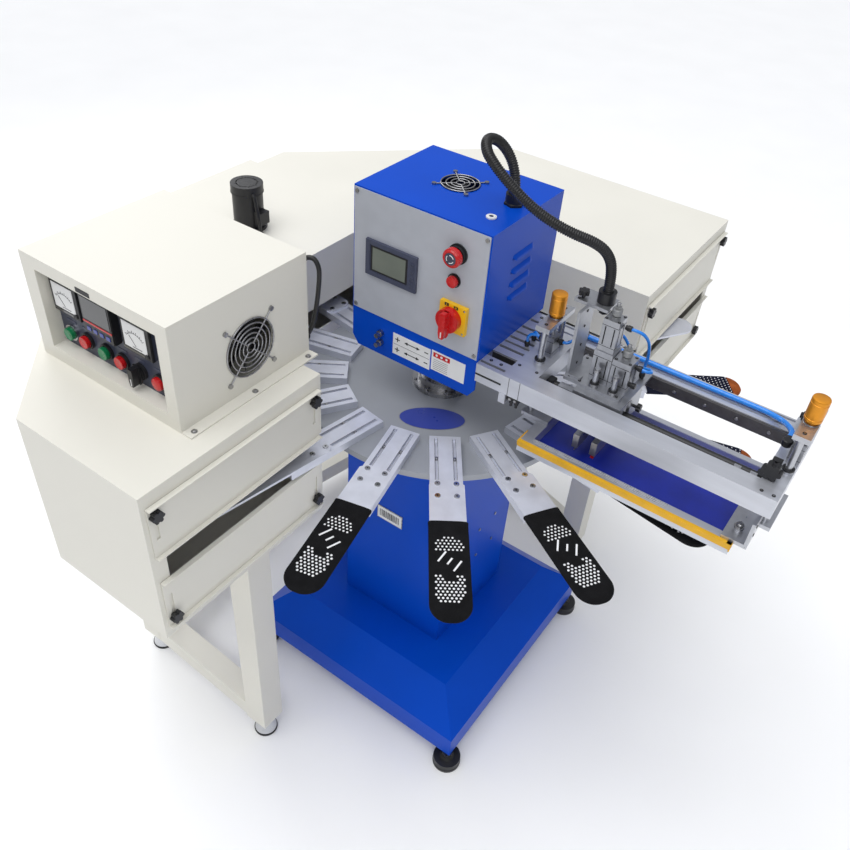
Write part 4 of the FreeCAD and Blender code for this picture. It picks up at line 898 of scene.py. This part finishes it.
def arm_details():
    build = Build()
    build.tube([(264, -43, 1000), (680, -43, 1000)], 7.4, BLACK, sides=24)
    for x in (270, 676):
        build.block((x - 8, -53, 990), (x + 6, -33, 1010), BLACK, soft=1.2)
    build.done("drive_sleeve", "black_plastic")

    build = Build()
    for x in LIFTS:
        for side in (-37, 37):
            build.washer((x, LIFT_Y + side, 1041), UP, 6.6, 10.4, 3.2, "flat_black_and_painted_shade")
        for across_x, across_y in ((-7.5, -11.5), (7.5, -11.5), (-7.5, 11.5), (7.5, 11.5)):
            build.screw((x + across_x, LIFT_Y + across_y, 1078.9), UP, 2.0)
        for z in (1046, 1070):
            build.band(x, LIFT_Y, 11.2, 15.2, z, 0.8)
    for x, y in ((692, -118), (712, -118), (692, 106), (712, 92), (250, 52), (215, 48), (215, -80),
                 (252, -80)):
        build.screw((x, y, 1036), UP, 3.2)
    for step in range(7):
        build.screw((292 + step * 60, 54.6, 1022), FRONT, 3.6, STEEL)
    for x in (166, 188):
        for y in (-102, 90):
            build.screw((x, y, 1036), UP, 3.4)
    build.done("arm_hardware", "guide_steel")

    build = Build()
    # Painted shade in the beam's grooves: flat black strips on their floors and dark strips up their walls.
    for front, wide, floor in BEAM_GROOVES:
        build.mark((150, front + 0.2, floor), (205, front + wide - 0.2, floor + 0.7))
        for edge in (front + 0.1, front + wide - 0.7):
            build.mark((150, edge, floor), (205, edge + 0.6, 1032), "dark_steel_and_painted_shade")
    build.mark((150, -128.5, 1011.5), (206, -127.6, 1015.5))
    for x in (222, 245):
        build.mark((x - 0.5, -128.25, 996.5), (x + 0.5, -127.8, 1035.8))
    build.done("beam_painted_groove_shade_and_lines", "guide_steel")

    build = Build()
    build.block((205, -129, 974), (219, -119, 997), "satin_aluminium", soft=0.6)
    build.block((219, -124, 983), (246, -110, 996), BLACK, soft=1)
    for x in (228, 239):
        build.stud((x, -124, 989.5), FRONT, (3.2, 2.2), (0, 3, 3.8), sides=12)
        build.lathe((x, -117, 983), -UP, [(4.2, 0), (4.2, 7), (2.8, 8), (2.8, 14)], BLACK, sides=16)
    build.done("beam_clamp", "guide_steel")

    build = Build()
    for x in LIFTS:
        for side in (-37, 37):
            build.screw((x, LIFT_Y + side, 1119), UP, 3.4)
        build.washer((x, LIFT_Y, 1119), UP, 10.3, 13, 1.2, STEEL)
    build.lathe((682, -98, 926), UP, [(9, 0), (9, 3), (6, 3.6), (6, 9), (5, 10)], STEEL, sides=24)
    for z in (935, 955):
        build.screw((708, -110, z), ALONG_X, 3.2)
    build.done("yoke_hardware", "guide_steel", "screen_lift")

    build = Build()
    for start, along in (((227, -14, 1066), -ALONG_X), ((227, 0, 1050), -ALONG_X), ((249, -4, 1068), ALONG_X),
                         ((193, -16, 1036), UP), ((193, 10, 1036), UP), ((271, 62, 1036), UP)):
        push_in_fitting(build, start, along, 4.2, 10)
    build.lathe((690, -10, 1058), UP, [(7.5, 0), (8.5, 1), (8.5, 12), (7.2, 13)], BLACK, sides=24)
    build.done("arm_fittings", "black_plastic")
    air_tubes("arm_air_tubes", (
        ((216, -14, 1066), (208, -14, 1067), (198, -15, 1064), (193, -16, 1056), (193, -16, 1047)),
        ((216, 0, 1050), (208, 2, 1052), (198, 7, 1056), (193, 10, 1053), (193, 10, 1047)),
        ((260, -4, 1068), (269, -2, 1070), (277, 12, 1074), (277, 38, 1068), (272, 58, 1058),
         (271, 62, 1047))))


# ---- dryer

FASCIA, BUTTON_ROW, SELECTOR = -585, 1097, -222
ROOF = 1040


def meter(build, x):
    """A square panel meter: black frame, white dial with a scale and a needle, and a zero screw."""
    low, high, face = 1139, 1201, FASCIA - 8
    build.block((x - 35, face - 2.0, low), (x + 35, face + 4, high), "flat_black_and_painted_shade", soft=1.2)
    build.block((x - 29, face - 2.7, low + 10), (x + 25, face - 1.8, high - 4), "white_plate", soft=0.3)

    def dial(radius, degrees):
        across, up = polar(radius, degrees)
        return x - 1 + across, face - 2.9, low + 17 + up

    scale, needle = 24.5, 128
    for angle in range(40, 141, 10):
        build.tube([dial(scale, angle), dial(27 if angle % 20 else 29, angle)], 0.35, "flat_black_and_painted_shade", sides=5)
    build.tube([dial(scale, a) for a in range(40, 141, 10)], 0.35, "flat_black_and_painted_shade", sides=5)
    build.tube([dial(0, needle), dial(22, needle)], 0.4, "flat_black_and_painted_shade", sides=5)
    build.mark((x - 9, face - 3.0, low + 13), (x + 13, face - 2.6, low + 15), "galvanised")
    build.stud((x + 24, face - 2, low + 8), FRONT, (4.6, 3.6), (0, 1.6, 2.2), "flat_black_and_painted_shade", sides=20)
    build.block((x - 33, face - 2.5, low + 3), (x + 17, face - 1.9, low + 8), "dark_glass", soft=0.2)


def fascia_details():
    build = Build()
    for x in (-386, -209):
        meter(build, x)
    build.block((-334, FASCIA - 17, 1136), (-258, FASCIA - 1, 1212), BLACK, soft=1.6)
    build.block((-329, FASCIA - 17.6, 1164), (-263, FASCIA - 16.8, 1207), "dark_glass", soft=0.2)
    build.block((-332, FASCIA - 17.8, 1157), (-260, FASCIA - 16.8, 1160.5), "red_plastic", soft=0.2)
    for x in (-325, -309, -293, -277):
        build.block((x, FASCIA - 18.0, 1142), (x + 10, FASCIA - 16.8, 1150), "sticker_blue", soft=0.4)
    for x in (-397, -357, -307, -266, SELECTOR, -175):
        build.mark((x - 12, FASCIA - 0.8, BUTTON_ROW + 19), (x + 12, FASCIA + 0.2, BUTTON_ROW + 24), "bezel")
        collar = "bright_steel" if x == -397 else "flat_black_and_painted_shade"
        build.washer((x, FASCIA, BUTTON_ROW), FRONT, 12.3, 15.2, 5.4, collar)
    build.lathe((-175, FASCIA - 4, BUTTON_ROW), FRONT,
                [(12, 0), (12, 6), (11.5, 7.2), (9.5, 8.4), (6, 9.2), (0.5, 9.5)], "red_plastic")
    for x, z in ((-421, 1073), (-421, 1215), (-139, 1073), (-139, 1215), (-280, 1073)):
        build.stud((x, FASCIA, z), FRONT, (2.6, 1.8), (0, 0.6, 1.1))
    build.block((-318, -612.8, 1222.5), (-284, -611.8, 1231), "flat_black_and_painted_shade", soft=0.2)
    build.done("fascia_instruments", "dark_panel")

    crown = [(11.3, 0), (11.1, 1.1), (10, 1.6), (8.8, 1.2), (0.6, 1.0)]
    for label, x in (("green_button_left", -397), ("red_button_left", -357), ("green_button_right", -307),
                     ("red_button_right", -266)):
        look = label.split("_")[0] + "_plastic"
        build = Build()
        build.lathe((x, FASCIA - 11.6, BUTTON_ROW), FRONT, crown, look)
        build.done(label + "_crown", look, label)

    build = Build()
    shape = [(-8, 15), (8, 15), (10, 6), (9, -14), (5, -21), (-5, -21), (-9, -14), (-10, 6)]
    for wide, tall, out, thick in ((1, 1, 7.5, 4), (0.62, 0.96, 11, 13.5)):
        build.slab([(SELECTOR + a * wide, FASCIA - out, BUTTON_ROW + b * tall) for a, b in shape],
                   FRONT, thick, BLACK)
    build.mark((SELECTOR - 1, FASCIA - 25, BUTTON_ROW - 18), (SELECTOR + 1, FASCIA - 24.3, BUTTON_ROW - 4),
               "white_plate")
    build.done("selector_lever", "black_plastic", "mode_selector")


def dryer_details():
    build = Build()
    for y in (-597, -458, -322):
        build.lathe((-94, y, 1043), UP, [(5.5, 0), (5.5, 0.7), (3.8, 1.0), (3.6, 2.8), (2.6, 3.4)], STEEL,
                    sides=24)
    for face, ends, heights in ((-45, (-733, -367), (993, 746)), (303, (332, 768), (993, 727))):
        for y in ends:
            for z in heights:
                build.washer((face + 2.6, y, z), ALONG_X, 3.3, 8, 1.2, STEEL, sides=24)
    build.done("dryer_screws", "machined_steel")

    build = Build()
    for x, y in ((-110, -500), (-500, -483), (-600, 0), (-500, 520), (-60, 590), (205, 505)):
        build.lathe((x, y, 0), UP, [(28, 0), (28.4, 2), (28.4, 5.5), (27.2, 7)], "black_rubber", sides=40)
    build.done("foot_pads", "foot_rubber")
    build = Build()
    for x in (-298, 298):
        for y in (-298, 298):
            build.lathe((x, y, 0), UP, [(33.6, 0), (34, 3), (34, 8), (32, 10)], "black_rubber", sides=40)
            build.lathe((x, y, 33), UP, [(13, 0), (13, 9)], STEEL, sides=6)
    build.done("base_foot_rings", "foot_rubber")


def wall_details():
    """Pan-head screws along the tunnel's rear panels and the back of the head."""
    build = Build()
    margin, spacing = 24, 190
    for x0, y0, x1, y1 in ((-790, -303, -790, 235), (-763, 330, -330, 790), (-330, 790, 303, 790)):
        start, run = Vector((x0, y0, 0)), Vector((x1 - x0, y1 - y0, 0))
        out = UP.cross(run).normalized()
        gaps = round(run.length / spacing)
        for step in range(gaps + 1):
            share = (margin + (run.length - 2 * margin) * step / gaps) / run.length
            for z in (716, 1024):
                build.stud(start + run * share + UP * z, out, (3.8, 2.6), (-0.3, 0.9, 1.9))
    for x in (-138, 0, 138):
        for z in (1050, 1281):
            build.stud((x, 124, z), ALONG_Y, (3.6, 2.5), (-0.3, 0.9, 1.8))
    build.done("wall_screws", "machined_steel")


def motor_details():
    """A flat cover with screws, and the lead that runs down the motor's side to the roof."""
    build = Build()
    x, y = -535, -25
    for step in range(8):
        across, up = polar(24, 45 * step + 10)
        build.stud((x + across, y + up, ROOF + 104), UP, (2.2, 1.4), (-0.6, 0.5, 0.8), "flat_black_and_painted_shade", sides=12)
    build.washer((x, y, ROOF + 98), UP, 22, 36, 6, BLACK, sides=72)
    build.washer((x, y, ROOF + 84), UP, 35.9, 36.6, 2, BLACK, sides=72)
    lead = ((31, -15, 90), (37, -15, 82), (42, -16, 62), (48, -17, 38), (50, -17, 18), (48, -16, 2))
    build.tube(smooth_path([(x + a, y + b, ROOF + c) for a, b, c in lead]), 4.2, "black_rubber", sides=12)
    build.stud((x + 48, y - 16, ROOF), UP, (8, 6), (0, 4, 7), BLACK, sides=20)
    build.done("motor_trim", "motor_paint", sharp=0.8)

    build = Build()
    cable = ((-119, -304, 1222), (-112, -296, 1229), (-101, -291, 1227), (-93, -290, 1214), (-91, -291, 1195),
             (-94, -291, 1165), (-98, -292, 1135), (-104, -294, 1100), (-111, -298, 1078), (-114, -304, 1070))
    build.tube(smooth_path(cable), 4.4, "black_rubber")
    for place in (cable[0], cable[-1]):
        build.stud((place[0], -305, place[2]), ALONG_Y, (8, 6), (0, 3, 6), BLACK, sides=20)
    build.done("case_cable", "hose_rubber", sharp=1.2)


aim_camera()
studio()
dress_nodes()
hose()
socks()
for details in (head_details, head_plates, louvres, table_sticker, station_details, screen_details,
                turned_handles, carriage_details, arm_details, fascia_details, dryer_details, wall_details,
                motor_details):
    details()
